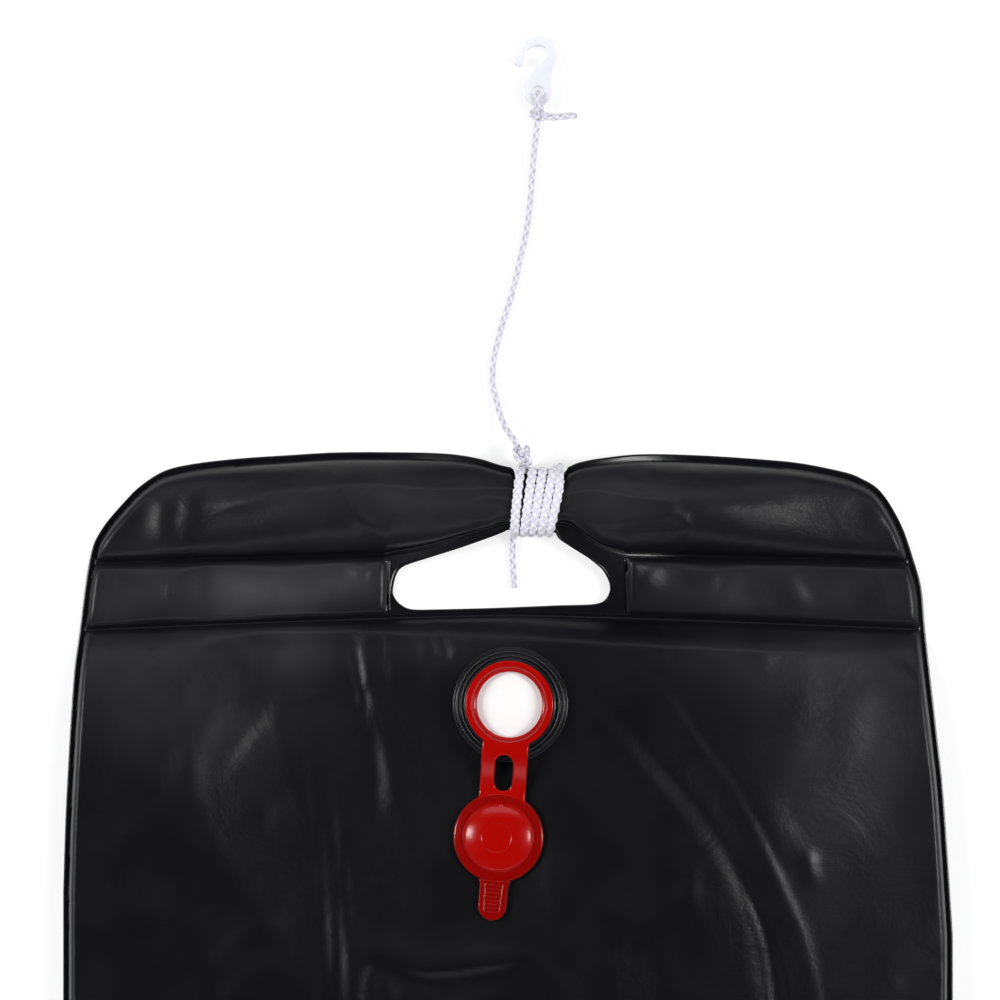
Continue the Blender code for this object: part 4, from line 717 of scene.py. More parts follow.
def frames_along(route: Places, closed: bool) -> tuple[Places, Places]:
    """Carry a pair of cross axes along a route without twist.

    Args:
        route: The route's points.
        closed: Whether the route's last point is its first, so that the axes have to meet again.

    Returns:
        The two axes at each point.
    """
    ahead = np.gradient(route, axis=0)
    if closed:
        ahead[0] = ahead[-1] = route[1] - route[-2]
    ahead /= np.linalg.norm(ahead, axis=1)[:, None]
    first = np.cross(ahead[0], (0.0, 0.0, 1.0) if abs(ahead[0, 2]) < 0.9 else (0.0, 1.0, 0.0))
    side = [first / np.linalg.norm(first)]
    for way in ahead[1:]:
        held = side[-1] - way * (side[-1] @ way)
        side.append(held / np.linalg.norm(held))
    sides = np.array(side)
    ups = np.cross(ahead, sides)
    if closed:
        slip = math.atan2(float(sides[-1] @ ups[0]), float(sides[-1] @ sides[0]))
        turn = -np.linspace(0, slip, len(route))[:, None]
        sides, ups = sides * np.cos(turn) + ups * np.sin(turn), ups * np.cos(turn) - sides * np.sin(turn)
    return sides, ups


def spun(profile: Places, steps: int = 128) -> Shape:
    """Turn a closed profile of (radius, height) points about Z.

    Args:
        profile: The profile's points.
        steps: How many steps the turn has.

    Returns:
        The closed shape.
    """
    shape = bmesh.new()
    rim = [shape.verts.new((r, 0, z)) for r, z in profile]
    edges = [shape.edges.new((rim[i], rim[i - 1])) for i in range(len(rim))]
    bmesh.ops.spin(shape, geom=rim + edges, cent=(0, 0, 0), axis=(0, 0, 1), angle=2 * math.pi, steps=steps,
                   use_merge=True)
    return closed_up(shape)


def rounded(corners: Sequence[Triple], steps: int = 4) -> Places:
    """Round the corners of a closed line, and hold each bend with a point on a straight run beside it.

    Args:
        corners: Each corner's place and the radius that it is rounded by.
        steps: How many steps a rounded corner has.

    Returns:
        The line's points.
    """
    made, held, room = [], 1.2, 1.6
    for i, (x, y, radius) in enumerate(corners):
        at = np.array((x, y))
        if radius == 0:
            made.append(at)
            continue
        ways, free = [], []
        for other in (corners[i - 1], corners[(i + 1) % len(corners)]):
            way = np.array(other[:2]) - at
            length = np.linalg.norm(way)
            free.append(length - held * other[2] > room * radius)
            ways.append(way / length * radius)
        back, ahead = ways
        if free[0]:
            made.append(at + back * held)
        made += [(at + back) * (1 - t) ** 2 + 2 * at * t * (1 - t) + (at + ahead) * t**2
                 for t in np.linspace(0, 1, steps + 1)]
        if free[1]:
            made.append(at + ahead * held)
    return np.array(made)


@dataclass
class BagForm:
    """The empty bag's form: its outline, its welds, and the height of its sheets."""

    width: float = 400 * MM
    length: float = 600 * MM
    outlet_outside: float = 25 * MM
    film: float = 0.5 * MM
    gap: float = 0.3 * MM
    edge_flange: float = 2.5 * MM
    weld: float = 1.7 * MM
    shoulder_depth: float = 197 * MM
    bottom_corner: float = 38 * MM
    pocket_depth: float = 45 * MM
    pocket_dip: float = 4.6 * MM
    lower_weld_depth: float = 72.5 * MM
    lower_weld_dip: float = 7.2 * MM
    dip_power: float = 1.25
    chamber_puff: float = 13.7 * MM
    chamber_shoulder: float = 62 * MM
    chamber_side: float = 3.5 * MM
    plump_side: float = 30 * MM
    plump_start: float = 255 * MM
    plump_reach: float = 130 * MM
    fullness: float = 3.2
    pocket_end_puff: float = 7 * MM
    pocket_end_shoulder: float = 3.5 * MM
    side_pocket_puff: float = 4 * MM
    side_pocket_shoulder: float = 2.2 * MM
    slot_reach: float = 52 * MM
    slot_depth: float = 71 * MM
    slot_weld_left: float = 54 * MM
    slot_weld_right: float = 53 * MM
    gather_middle: float = 12.5 * MM
    gather_half: float = 12.8 * MM
    gather_depth: float = 22.1 * MM
    tube_radius: float = 6.7 * MM
    tube_length: float = 148 * MM
    tube_fade: float = 98 * MM
    inner_fade: float = 60 * MM
    lift_fade: float = 62 * MM
    cord: float = 3.2 * MM
    filler_x: float = 1.1 * MM
    filler_depth: float = 112.8 * MM
    filler_height: float = 12 * MM
    lean_left: float = 3.5
    lean_up: float = 2.0
    strap_yaw: float = -5.0
    plane_reach: float = 99 * MM
    plane_reach_up: float = 32 * MM
    plane_rise: float = 52 * MM
    plane_fall: float = 86 * MM
    swing_reach: float = 99 * MM
    swing_room: float = 0.45 * MM
    ring_stack: float = 10.3 * MM
    flange_radius: float = 27.5 * MM
    outlet_radius: float = 6 * MM
    outlet_inside: float = 25 * MM
    outlet_tent: float = 22 * MM

    def __post_init__(self) -> None:
        """Work out the lines that everything else is read from."""
        half = self.width / 2
        self.top_y = (self.length + self.outlet_outside) / 2
        self.pair = 2 * self.film + self.gap
        self.handle_half = self.tube_radius + 2 * self.gap + self.film
        self.handle_height = self.cord + 2 * self.gap + self.handle_half
        self.gather_y = self.top_y - self.gather_depth
        self.gather_lift = self.handle_height - self.pair / 2
        self.back_sag = self.gather_lift - (self.handle_height - self.handle_half)
        self.top_edge = table_line(scaled(TOP_EDGE_SHARES, half, self.pocket_depth))
        self.handle_foot = table_line(scaled(HANDLE_FOOT_SHARES, self.slot_reach, self.pocket_depth))
        places = scaled(LEFT_SIDE_SHARES, half, self.shoulder_depth)
        places += scaled(TOP_EDGE_SHARES, half, self.pocket_depth)
        places += scaled(RIGHT_SIDE_SHARES, half, self.shoulder_depth)
        upper = smooth_line(places, 5) * (1, -1) + (0, self.top_y)
        round_by = self.bottom_corner
        across, up = half - round_by, self.top_y - self.length + round_by
        right, left = arc((across, up), round_by, 0, -90, 16), arc((-across, up), round_by, -90, -180, 16)
        self.outline = np.vstack([upper, right, left])
        slot = smooth_line(scaled(SLOT_SHARES, self.slot_reach, self.slot_depth), 8, closed=True)
        self.slot = slot * (1, -1) + (0, self.top_y)

    def side_line(self) -> tuple[Places, Places]:
        """Return the depths down the bag's side, and the outline's half width at each."""
        side = self.outline[(self.outline[:, 0] > 0) & (self.outline[:, 1] < self.top_y - self.pocket_depth)]
        side = side[side[:, 1] > self.top_y - self.length + self.bottom_corner]
        order = np.argsort(-side[:, 1])
        return self.top_y - side[order, 1], side[order, 0]

    def filler_matrix(self) -> Matrix:
        """Return the filler's frame: the ring's top face, on the leaning patch of the front sheet."""
        patch = Matrix.Translation((self.filler_x, self.top_y - self.filler_depth, self.filler_height))
        left, up, yaw = (Matrix.Rotation(math.radians(turn), 4, axis) for turn, axis in
                         ((-self.lean_left, "Y"), (-self.lean_up, "X"), (self.strap_yaw, "Z")))
        return patch @ (left @ up) @ yaw @ Matrix.Translation((0, 0, self.ring_stack))

    def in_filler(self, at: Places) -> Places:
        """Turn places into the filler's frame."""
        turned = np.array(self.filler_matrix().inverted())
        return at @ turned[:3, :3].T + turned[:3, 3]

    def dip(self, x: Places) -> Places:
        """Return how much of a weld's dip there is, from 0 at the middle to 1 at the bag's side."""
        return np.minimum(np.abs(x) / (self.width / 2), 1) ** self.dip_power

    def pocket_foot(self, x: Places) -> Places:
        """Return the depth of the weld under the top pocket."""
        middle = (x > -self.slot_weld_left) & (x < self.slot_weld_right)
        return np.where(middle, self.handle_foot(x), self.pocket_depth + self.pocket_dip * self.dip(x))

    def lower_weld(self, x: Places) -> Places:
        """Return the depth of the weld above the water chamber."""
        return self.lower_weld_depth + self.lower_weld_dip * self.dip(x)

    def lift(self, x: Places) -> Places:
        """Return how far the gathered handle's welds stand off the surface."""
        away = np.abs(x - self.gather_middle) - self.gather_half
        return self.gather_lift * (1 - ease(away / self.lift_fade))

    def weld_level(self, x: Places, depth: Places) -> Places:
        """Return the height of the welds' underside, which falls from the handle to the chamber."""
        start = self.pocket_foot(x) + self.weld / 2
        end = self.lower_weld(x) - self.weld / 2
        return self.lift(x) * (1 - np.clip((depth - start) / (end - start), 0, 1))

    def edge_gap(self, at: Places) -> Places:
        """Return each place's distance inside the bag's outline, or 0 outside it."""
        return np.where(inside_of(self.outline, at), nearest_on(self.outline, at)[0], 0.0)

    def crown(self, x: Places, share: Places, edge: Places) -> Places:
        """Return the top pocket's height.

        Args:
            x: The places across the bag.
            share: The share of the way down the pocket.
            edge: The distance inside the outline.

        Returns:
            The height of the front sheet's top.
        """
        over_tube = self.handle_height + self.handle_half - self.pair - self.lift(x)
        beyond = ease((np.abs(x) - self.tube_length / 2 - self.gap) / self.tube_fade)
        inner = 1 - ease((np.abs(x) - self.tube_length / 2) / self.inner_fade)
        power = 2 + (self.fullness - 2) * beyond
        top = np.maximum(0.0, 1 - np.abs(2 * np.clip(share, 0, 1) - 1) ** power) ** (1 / power)
        sides = inner + (1 - inner) * shoulder(edge - self.edge_flange, self.pocket_end_shoulder)
        puff = over_tube * (1 - beyond) + self.pocket_end_puff * beyond
        return self.lift(x) + self.pair + puff * top * sides

    def chamber(self, x: Places, depth: Places, edge: Places) -> Places:
        """Return the water chamber's height.

        Args:
            x: The places across the bag.
            depth: The depths below the top edge.
            edge: The distance inside the outline.

        Returns:
            The height of the front sheet's top.
        """
        start = depth - self.lower_weld(x) - self.weld / 2
        lower = ease((depth - self.plump_start) / self.plump_reach)
        side = self.chamber_side + (self.plump_side - self.chamber_side) * lower
        rise = shoulder(start, self.chamber_shoulder) * shoulder(edge - self.edge_flange, side)
        height = self.pair + self.chamber_puff * rise
        normal = self.filler_matrix().to_3x3() @ Vector((0, 0, 1))
        across, along = x - self.filler_x, self.filler_depth - depth
        level = self.filler_height - (normal.x * across + normal.y * along) / normal.z
        place = self.in_filler(np.column_stack([x, self.top_y - depth, level]))
        beyond = np.maximum(np.hypot(place[:, 0], place[:, 1]) - self.plane_reach, place[:, 1] - self.plane_reach_up)
        near = np.where(level < height, 1 - ramp(beyond / self.plane_rise), 1 - ease(beyond / self.plane_fall))
        near *= ease(start / (self.filler_depth - self.lower_weld_depth - self.flange_radius))
        height += (level - height) * near
        tent = 2 * (self.outlet_radius + self.gap + self.film) + self.pair
        tent = tent * (1 - ease((np.abs(x) - self.outlet_radius) / self.outlet_tent))
        over_tube = ease(1 - (self.length - self.outlet_inside - depth) / self.chamber_shoulder)
        return np.maximum(height, tent * over_tube)

    def front(self, at: Places) -> Places:
        """Return the height of the front sheet's top at each place, before its folds."""
        x, depth, edge = at[:, 0], self.top_y - at[:, 1], self.edge_gap(at)
        foot, weld = self.pocket_foot(x), self.lower_weld(x)
        start = self.top_edge(x) + self.edge_flange
        share = (depth - start) / (foot - self.weld / 2 - start)
        pocket = self.crown(x, share, edge)
        down = np.clip((depth - foot - self.weld / 2) / (weld - foot - self.weld), 0, 1)
        beside = np.maximum(-self.slot_weld_left - self.weld / 2 - x, x - self.slot_weld_right - self.weld / 2)
        across = np.maximum(0.0, 1 - np.abs(2 * down - 1) ** self.fullness) ** (1 / self.fullness)
        puff = shoulder(beside, self.side_pocket_shoulder) * across
        puff *= shoulder(edge - self.edge_flange, self.pocket_end_shoulder)
        side = self.lift(x) * (1 - down) + self.pair + self.side_pocket_puff * puff
        return np.where(depth < foot, pocket, np.where(depth < weld, side, self.chamber(x, depth, edge)))

    def back(self, at: Places) -> Places:
        """Return the height of the back sheet's underside at each place."""
        x, depth = at[:, 0], self.top_y - at[:, 1]
        start = self.top_edge(x) + self.edge_flange
        share = np.clip((depth - start) / (self.pocket_foot(x) - self.weld / 2 - start), 0, 1)
        sag = np.minimum(self.back_sag, self.lift(x)) * np.sqrt(np.maximum(0.0, 1 - (2 * share - 1) ** 2))
        return self.weld_level(x, depth) - sag

    def on_line(self, at: Places) -> Places:
        """Give (x, y) places on a weld their height, at the middle of the two sheets."""
        return np.column_stack([at, self.weld_level(at[:, 0], self.top_y - at[:, 1]) + self.pair / 2])


@dataclass
class Assembly:
    """A group of pieces that are made and dressed together."""

    form: BagForm = field(default_factory=BagForm)
    made: list[Piece] = field(default_factory=list)

    def material(self, finish: Finish) -> bpy.types.Material:
        """Return the finish's material, made once."""
        if finish.name not in bpy.data.materials:
            finish.build()
        return bpy.data.materials[finish.name]

    def add(self, name: str, shape: Shape, finish: Finish, body: str,
            replaces: Sequence[str] = (), sharp: float = 38) -> Piece:
        """Turn a shape into a piece of the object.

        Args:
            name: The piece's name.
            shape: Its shape, which is used up.
            finish: Its finish.
            body: The body that it moves with, or nothing, which leaves it with no body.
            replaces: The nodes that it stands for.
            sharp: The angle above which its edges are sharp, in degrees.

        Returns:
            The piece.
        """
        mesh = bpy.data.meshes.new(name)
        shape.to_mesh(mesh)
        shape.free()
        mesh.shade_smooth()
        mesh.set_sharp_from_angle(angle=math.radians(sharp))
        mesh.materials.append(self.material(finish))
        piece = bpy.data.objects.new(name, mesh)
        bpy.context.scene.collection.objects.link(piece)
        if body:
            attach(piece, body)
        if replaces:
            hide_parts(*replaces)
        self.made.append(piece)
        LOG.info("%s: %d faces", name, len(mesh.polygons))
        return piece

    def dress(self, node: str, finish: Finish) -> None:
        """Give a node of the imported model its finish."""
        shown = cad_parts[node]
        shown.data.materials.clear()
        shown.data.materials.append(self.material(finish))
        LOG.info("%s: dressed", node)


@dataclass
class Relief:
    """The folds and the slack of the front sheet, laid over its form."""

    form: BagForm
    seed: int = 7
    waves: int = 14
    spans: Pair = (0.028, 0.095)
    flatness: float = 0.55
    bend: float = 0.006
    bend_span: float = 0.11
    bend_start: float = 1.3
    slack: float = 0.3 * MM
    pocket_slack: float = 0.5 * MM
    side_slack: float = 1.0 * MM
    reach: float = 4.5
    end_share: float = 0.42
    crease_peak: float = 1.25
    crease_round: float = 0.22
    crease_fall: float = 1.3
    shelf_width: float = 2.6
    weld_fade: float = 5 * MM
    # How quickly the painted sheen rises away from the welds
    painted_sheen_rise: float = 2.5
    swing_up: float = 24 * MM
    swing_fade: float = 14 * MM
    collar_fade: float = 10 * MM
    tube_margin: float = 2 * MM
    tube_dip: float = 0.2 * MM

    def fold(self, fold: Fold, at: Places) -> Places:
        """Return one fold's height at each place.

        Args:
            fold: The fold.
            at: The (x, y) places.

        Returns:
            The heights, which are 0 away from the fold.
        """
        route = smooth_line(fold.route, 10) * (MM, -MM) + (0, self.form.top_y)
        reach = self.reach * fold.width * MM
        low, high = route.min(0) - reach, route.max(0) + reach
        near = np.flatnonzero(((at > low) & (at < high)).all(1))
        height = np.zeros(len(at))
        if not len(near):
            return height
        gap, _, share, side = nearest_on(route, at[near], closed=False)
        away = gap / (fold.width * MM)
        if fold.kind is CREASE:
            section = self.crease_peak * np.exp(-np.hypot(away, self.crease_round) * self.crease_fall)
        elif fold.kind is SHELF:
            section = np.exp(-np.where(side < 0, away / self.shelf_width, away) ** 2)
        else:
            section = np.exp(-(away**2))
        ends = np.minimum(fold.start + (1 - fold.start) * ease(share / self.end_share),
                          fold.end + (1 - fold.end) * ease((1 - share) / self.end_share))
        height[near] = fold.height * MM * section * ends
        return height

    def wander(self, at: Places) -> Places:
        """Return a soft uneven slack at each place, from -1 to 1."""
        dice = np.random.default_rng(self.seed)
        total = np.zeros(len(at))
        bent = at + self.bend * np.sin(at[:, ::-1] * 2 * math.pi / self.bend_span + self.bend_start)
        for _ in range(self.waves):
            turn, span, phase = dice.uniform(0, math.pi), dice.uniform(*self.spans), dice.uniform(0, 2 * math.pi)
            way = np.array((math.cos(turn), self.flatness * math.sin(turn)))
            total += np.sin(bent @ way * 2 * math.pi / span + phase) * (span / self.spans[1])
        return total / math.sqrt(self.waves)

    def clear_of_welds(self, at: Places) -> Places:
        """Return how free the sheet is at each place: 0 on a weld, 1 well away from one."""
        form = self.form
        x, depth = at[:, 0], form.top_y - at[:, 1]
        gaps = [form.edge_gap(at) - form.edge_flange]
        gaps += [np.abs(depth - line(x)) - form.weld / 2 for line in (form.pocket_foot, form.lower_weld)]
        beside = (depth > form.pocket_foot(x)) & (depth < form.lower_weld(x))
        for place in (-form.slot_weld_left, form.slot_weld_right):
            gaps.append(np.where(beside, np.abs(x - place) - form.weld / 2, 1.0))
        held = beside & (x > -form.slot_weld_left) & (x < form.slot_weld_right)
        return np.where(held, 0.0, ease(np.min(gaps, axis=0) / self.weld_fade))

    def painted_sheen(self, at: Places) -> Places:
        """Return how strong the film's painted sheen is at each place: 0 at the welds, up to 1."""
        x, down = at[:, 0] / MM, (self.form.top_y - at[:, 1]) / MM
        total = sum(patch.strength * np.exp(-(((x - patch.across) / patch.half_wide) ** 2)
                                            - ((down - patch.down) / patch.half_high) ** 2) for patch in PAINTED_SHEEN_PATCHES)
        return np.clip(total, 0, 1) * np.clip(self.painted_sheen_rise * self.clear_of_welds(at), 0, 1)

    def height(self, at: Places) -> Places:
        """Return the relief at each place.

        Args:
            at: The (x, y) places.

        Returns:
            The height that the folds and the slack add to the sheet's form.
        """
        form = self.form
        x, depth = at[:, 0], form.top_y - at[:, 1]
        total = sum(self.fold(fold, at) for fold in FOLDS)
        above = depth < form.lower_weld(x)
        beside = above & (depth > form.pocket_foot(x))
        total += self.wander(at) * np.where(beside, self.side_slack, np.where(above, self.pocket_slack, self.slack))
        place = form.in_filler(np.column_stack([at, np.full(len(at), form.filler_height)]))
        away = np.hypot(place[:, 0], place[:, 1])
        beyond = np.maximum(away - form.swing_reach, place[:, 1] - self.swing_up)
        over = np.maximum(total - form.swing_room, 0)
        total -= over * (1 - ease(beyond / self.swing_fade)) * (depth > form.lower_weld(x))
        total *= ease((away - form.flange_radius) / self.collar_fade)
        over_tube = (np.abs(x) < form.tube_length / 2 + self.tube_margin) & (depth < form.pocket_foot(x))
        total = np.where(over_tube, np.maximum(total, -self.tube_dip), total)
        return total * self.clear_of_welds(at)


@dataclass
class Film(Assembly):
    """The bag's two sheets, with their welds."""

    over: float = 3 * MM
    column_step: float = 1.5 * MM
    fine_step: float = 1.45 * MM
    coarse_step: float = 3 * MM
    seen_depth: float = 250 * MM
    filler_hole: float = 18 * MM
    side_strip: float = 20 * MM
    snap: float = 0.45 * MM
    fit_reach: float = 9 * MM
    off_ground: float = 0.05 * MM
    bow: float = 0.5 * MM
    side_margin: float = 1.2 * MM
    bar_steps: int = 330
    upright_steps: int = 24

    def grid(self, column_step: float, fine_step: float) -> Places:
        """Lay a grid whose rows follow the welds.

        Args:
            column_step: The step across.
            fine_step: The step down, over what is seen closest.

        Returns:
            The (x, y) places, as rows from the bottom up by columns by two.
        """
        form = self.form
        half, inner = form.width / 2 + self.over, form.width / 2 - self.side_strip
        side = np.linspace(inner, half, round(2 * (half - inner) / column_step) + 1)[1:]
        x = np.concatenate([-side[::-1], np.linspace(-inner, inner, round(2 * inner / column_step) + 1), side])
        first, gap = self.over + form.edge_flange, form.weld / 2
        rows = [(1, 0, 0, -first), (1, 0, 0, -first / 2)]
        shares = np.linspace(0, 1, round(form.pocket_depth / fine_step) + 1)
        rows += [(1 - share, share, 0, -gap * share) for share in shares]
        shares = np.linspace(0, 1, round((form.lower_weld_depth - form.pocket_depth) / fine_step))
        rows += [(0, 1 - share, share, gap - 2 * gap * share) for share in shares]
        shares = np.linspace(0, 1, round((self.seen_depth - form.lower_weld_depth) / fine_step) + 1)
        rows += [(0, 0, 1 - share, gap * (1 - share) + self.seen_depth * share) for share in shares]
        end = form.length + self.over
        shares = np.linspace(0, 1, round((end - self.seen_depth) / max(self.coarse_step, fine_step)) + 1)[1:]
        rows += [(0, 0, 0, self.seen_depth + (end - self.seen_depth) * share) for share in shares]
        parts = np.array(rows)[::-1].T[..., None]
        down = self.row_depths(parts, np.broadcast_to(x, (len(rows), len(x))))
        across = x * np.interp(down, *form.side_line()) / (form.width / 2)
        return np.stack([across, form.top_y - self.row_depths(parts, across)], axis=2)

    def row_depths(self, parts: Places, x: Places) -> Places:
        """Return the depth of each row: its parts of the top edge, the two welds and a plain depth."""
        form = self.form
        lines = form.top_edge(x) + form.edge_flange, form.pocket_foot(x), form.lower_weld(x)
        return sum(part * line for part, line in zip(parts, lines)) + parts[3]

    def flat(self, column_step: float, fine_step: float, hole: bool) -> Shape:
        """Lay a flat sheet, trim it to the outline and the hand slot, and fit its rim to them.

        Args:
            column_step: The step across.
            fine_step: The step down, over what is seen closest.
            hole: Whether the filler's hole is cut too.

        Returns:
            The trimmed sheet, still flat.
        """
        places = self.grid(column_step, fine_step)
        mesh = grid_mesh(np.concatenate([places, np.zeros((*places.shape[:2], 1))], axis=2))
        at = places_of(mesh)[:, :2].astype(float)
        form = self.form
        loops = [(form.outline, True), (form.slot, False)]
        if hole:
            middle = form.filler_matrix() @ Vector((0, 0, -form.ring_stack))
            loops.append((arc((middle.x, middle.y), self.filler_hole, 0, 360, 72)[:-1], False))
        kept, moved = np.ones(len(at), bool), at.copy()
        for loop, within in loops:
            gap, foot, _, _ = nearest_on(loop, at)
            wanted = inside_of(loop, at) == within
            rim = gap < self.snap
            fitted = (~wanted | rim) & (gap < self.fit_reach)
            moved = np.where(fitted[:, None], foot, moved)
            kept &= wanted & ~rim
        shape = joined([mesh])
        shape.verts.ensure_lookup_table()
        for vert, place in zip(shape.verts, moved):
            vert.co.x, vert.co.y = place
        off = [face for face in shape.faces if not any(kept[vert.index] for vert in face.verts)]
        bmesh.ops.delete(shape, geom=off, context="FACES")
        return shape

    def raised(self, shape: Shape, height: Callable[[Places], Places]) -> Shape:
        """Set a flat sheet's vertices to a height."""
        shape.verts.ensure_lookup_table()
        at = np.array([(vert.co.x, vert.co.y) for vert in shape.verts])
        for vert, up in zip(shape.verts, height(at)):
            vert.co.z = up
        return shape

    def front(self) -> None:
        """Make the front sheet with its folds and its painted sheen."""
        relief = Relief(self.form)
        shape = self.raised(self.flat(self.column_step, self.fine_step, hole=True),
                            lambda at: self.form.front(at) + relief.height(at))
        # Each vertex keeps how strong the painted sheen is there
        layer = shape.verts.layers.float.new("painted_sheen")
        for vert, amount in zip(shape.verts, relief.painted_sheen(np.array([vert.co.xy for vert in shape.verts]))):
            vert[layer] = amount
        self.declare(self.add("front_sheet", shape, FILM, "bag", ["front_panel"], sharp=75))

    def back(self) -> None:
        """Make the back sheet, which lies on the ground below the chamber."""
        shape = self.raised(self.flat(self.coarse_step, self.coarse_step, hole=False),
                            lambda at: self.form.back(at) + self.off_ground)
        bmesh.ops.reverse_faces(shape, faces=shape.faces)
        self.declare(self.add("back_sheet", shape, FILM, "bag", ["back_panel"], sharp=75))

    def declare(self, piece: Piece) -> None:
        """Take a sheet piece, and leave it as it is."""

    def weld(self, name: str, *runs: Places) -> None:
        """Close up the swept runs of a weld, and add it."""
        self.add(name, closed_up(joined([grid_mesh(run) for run in runs])), WELD, "bag", sharp=50)

    def rim_weld(self) -> None:
        """Make the weld round the bag's edge, where the two sheets are one flat strip."""
        profile = rounded([
            (-0.25, -0.62, 0.2), (-0.3, 0.7, 0.35), (0.5, 0.9, 0.3), (1.7, 0.8, 0.3),
            (2.75, 0.8, 0.2), (3.05, 0.5, 0.1), (3.0, -0.3, 0.1), (1.6, -0.62, 0.3),
        ], 3) * MM
        route = self.form.on_line(spaced(self.form.outline, 1.5 * MM, closed=True))
        self.weld("rim_weld", swept(route, profile, closed=True))

    def slot_weld(self) -> None:
        """Make the sealed edge round the hand slot."""
        profile = rounded([(-1.1, -0.62, 0.2), (0.25, -0.6, 0.25), (0.25, 0.66, 0.25), (-0.5, 0.86, 0.25),
                           (-1.3, 0.6, 0.1)], 3) * MM
        route = self.form.on_line(spaced(self.form.slot[::-1], 0.8 * MM, closed=True))
        self.weld("slot_weld", swept(route, profile * (-1, 1), closed=True))

    def bar_welds(self) -> None:
        """Make the welds between the compartments: a flat groove between two fine ridges."""
        form = self.form
        profile = rounded([
            (-1.35, -0.3, 0.05), (-1.3, 0.8, 0.3), (-0.95, 1.2, 0.3), (-0.45, 0.85, 0.2), (0.45, 0.85, 0.2),
            (0.95, 1.2, 0.3), (1.3, 0.8, 0.3), (1.35, -0.3, 0.05),
        ], 3) * MM
        runs = []
        sides = [form.outline[form.outline[:, 0] * side > 0.8 * form.width / 2] for side in (-1, 1)]
        for line in (form.pocket_foot, form.lower_weld):
            ends = []
            for side in sides:
                row = np.argmin(np.abs(form.top_y - side[:, 1] - line(side[:, 0])))
                ends.append(side[row, 0] - np.sign(side[row, 0]) * self.side_margin)
            x = np.linspace(*ends, self.bar_steps)
            soft = np.array([line(x + shift).tolist() for shift in np.linspace(-2, 2, 7) * MM]).mean(0)
            runs.append(swept(form.on_line(np.column_stack([x, form.top_y - soft])), profile, taper=1.2 * MM))
        shares = np.linspace(0, math.pi, self.upright_steps)
        for x in (-form.slot_weld_left, form.slot_weld_right):
            top, foot = float(form.pocket_foot(np.array(x * 1.02))), float(form.lower_weld(np.array(x)))
            depth = np.linspace(top + 1 * MM, foot - 1 * MM, self.upright_steps)
            bow = self.bow * np.sin(shares) * np.sign(x)
            runs.append(swept(form.on_line(np.column_stack([x + bow, form.top_y - depth])), profile, taper=1.0 * MM))
        self.weld("bar_welds", *runs)

    def build(self) -> None:
        """Make both sheets and their welds."""
        for make in (self.front, self.back, self.rim_weld, self.slot_weld, self.bar_welds):
            make()


@dataclass
class Braid:
    """A round braid: how its flat strands cross as they turn about it, mostly in shares of its thickness."""

    thick: float = 3.2 * MM
    pairs: int = 3
    pitch: float = 4.2
    middle: float = 0.255
    swing: float = 0.09
    strand_half: Pair = (0.235, 0.155)
    core: float = 0.27
    sides: int = 8
    step: float = 0.4 * MM
    widen: float = 1.0
    # deep and deep_to_outer set where the painted shade between the strands lies, in shares of the thickness out from
    # the centreline
    deep: float = 0.3
    deep_to_outer: float = 0.19
    end_fade: float = 0.3
    end_size: float = 0.02

    def strand(self, route: Places, axes: tuple[Places, Places], hand: int, first: float, closed: bool) -> Mesh:
        """Make one strand.

        Args:
            route: The cord's centreline.
            axes: The cross axes along it.
            hand: 1 for a strand that turns one way, -1 for the other.
            first: The angle that it starts at.
            closed: Whether the cord runs back to its start.

        Returns:
            The strand's mesh, with how far each vertex stands out of the braid.
        """
        along = run_of(route)
        turns = max(1, round(along[-1] / (self.thick * self.pitch)))
        angle = 2 * math.pi * turns * along / along[-1]
        turned = hand * angle + first
        out = axes[0] * np.cos(turned)[:, None] + axes[1] * np.sin(turned)[:, None]
        close = self.closing(along, closed)
        away = self.thick * (self.middle + self.swing * hand * np.cos(self.pairs * angle)) * close
        line = out * away[:, None]
        ahead = np.gradient(route + line, axis=0)
        ahead /= np.linalg.norm(ahead, axis=1)[:, None]
        beside = np.cross(ahead, out)
        beside /= np.linalg.norm(beside, axis=1)[:, None]
        up = np.cross(beside, ahead)
        ring = np.linspace(0, 2 * math.pi, self.sides + 1)
        wide, high = (self.thick * half * close[:, None] for half in self.strand_half)
        section = (beside[:, None, :] * (wide * np.cos(ring))[..., None]
                   + up[:, None, :] * (high * np.sin(ring))[..., None])
        offset = line[:, None, :] + section
        # How far each vertex stands out of the braid, which sets the painted shade between the strands
        marks = np.clip((np.linalg.norm(offset, axis=2) / self.thick - self.deep) / self.deep_to_outer, 0, 1)
        return grid_mesh(route[:, None, :] + offset * (self.widen, 1, 1), marks)

    def closing(self, along: Places, closed: bool) -> Places:
        """Return how far the braid is open along it: 1, but near 0 at the ends of an open cord."""
        if closed:
            return np.ones(len(along))
        ends = np.clip(np.minimum(along, along[-1] - along) / (self.end_fade * self.thick), 0, 1)
        return self.end_size + (1 - self.end_size) * np.sqrt(ends * (2 - ends))

    def shape(self, points: Places, closed: bool = False) -> Shape:
        """Braid a cord along a route.

        Args:
            points: The route's points.
            closed: Whether the cord runs back to its start.

        Returns:
            The strands over a plain core.
        """
        route = even_line(points, self.step, closed)
        axes = frames_along(route, closed)
        meshes = [self.strand(route, axes, hand, 2 * math.pi * k / self.pairs, closed)
                  for hand in (1, -1) for k in range(self.pairs)]
        core = tube(route, self.thick * self.core * self.closing(run_of(route), closed), 8, closed)
        core = route[:, None, :] + (core - route[:, None, :]) * (self.widen, 1, 1)
        # The core is marked by its radius, which gives it most of the painted shade
        meshes.append(grid_mesh(core, np.full(core.shape[:2], self.core)))
        return closed_up(joined(meshes), 0.001 * MM)


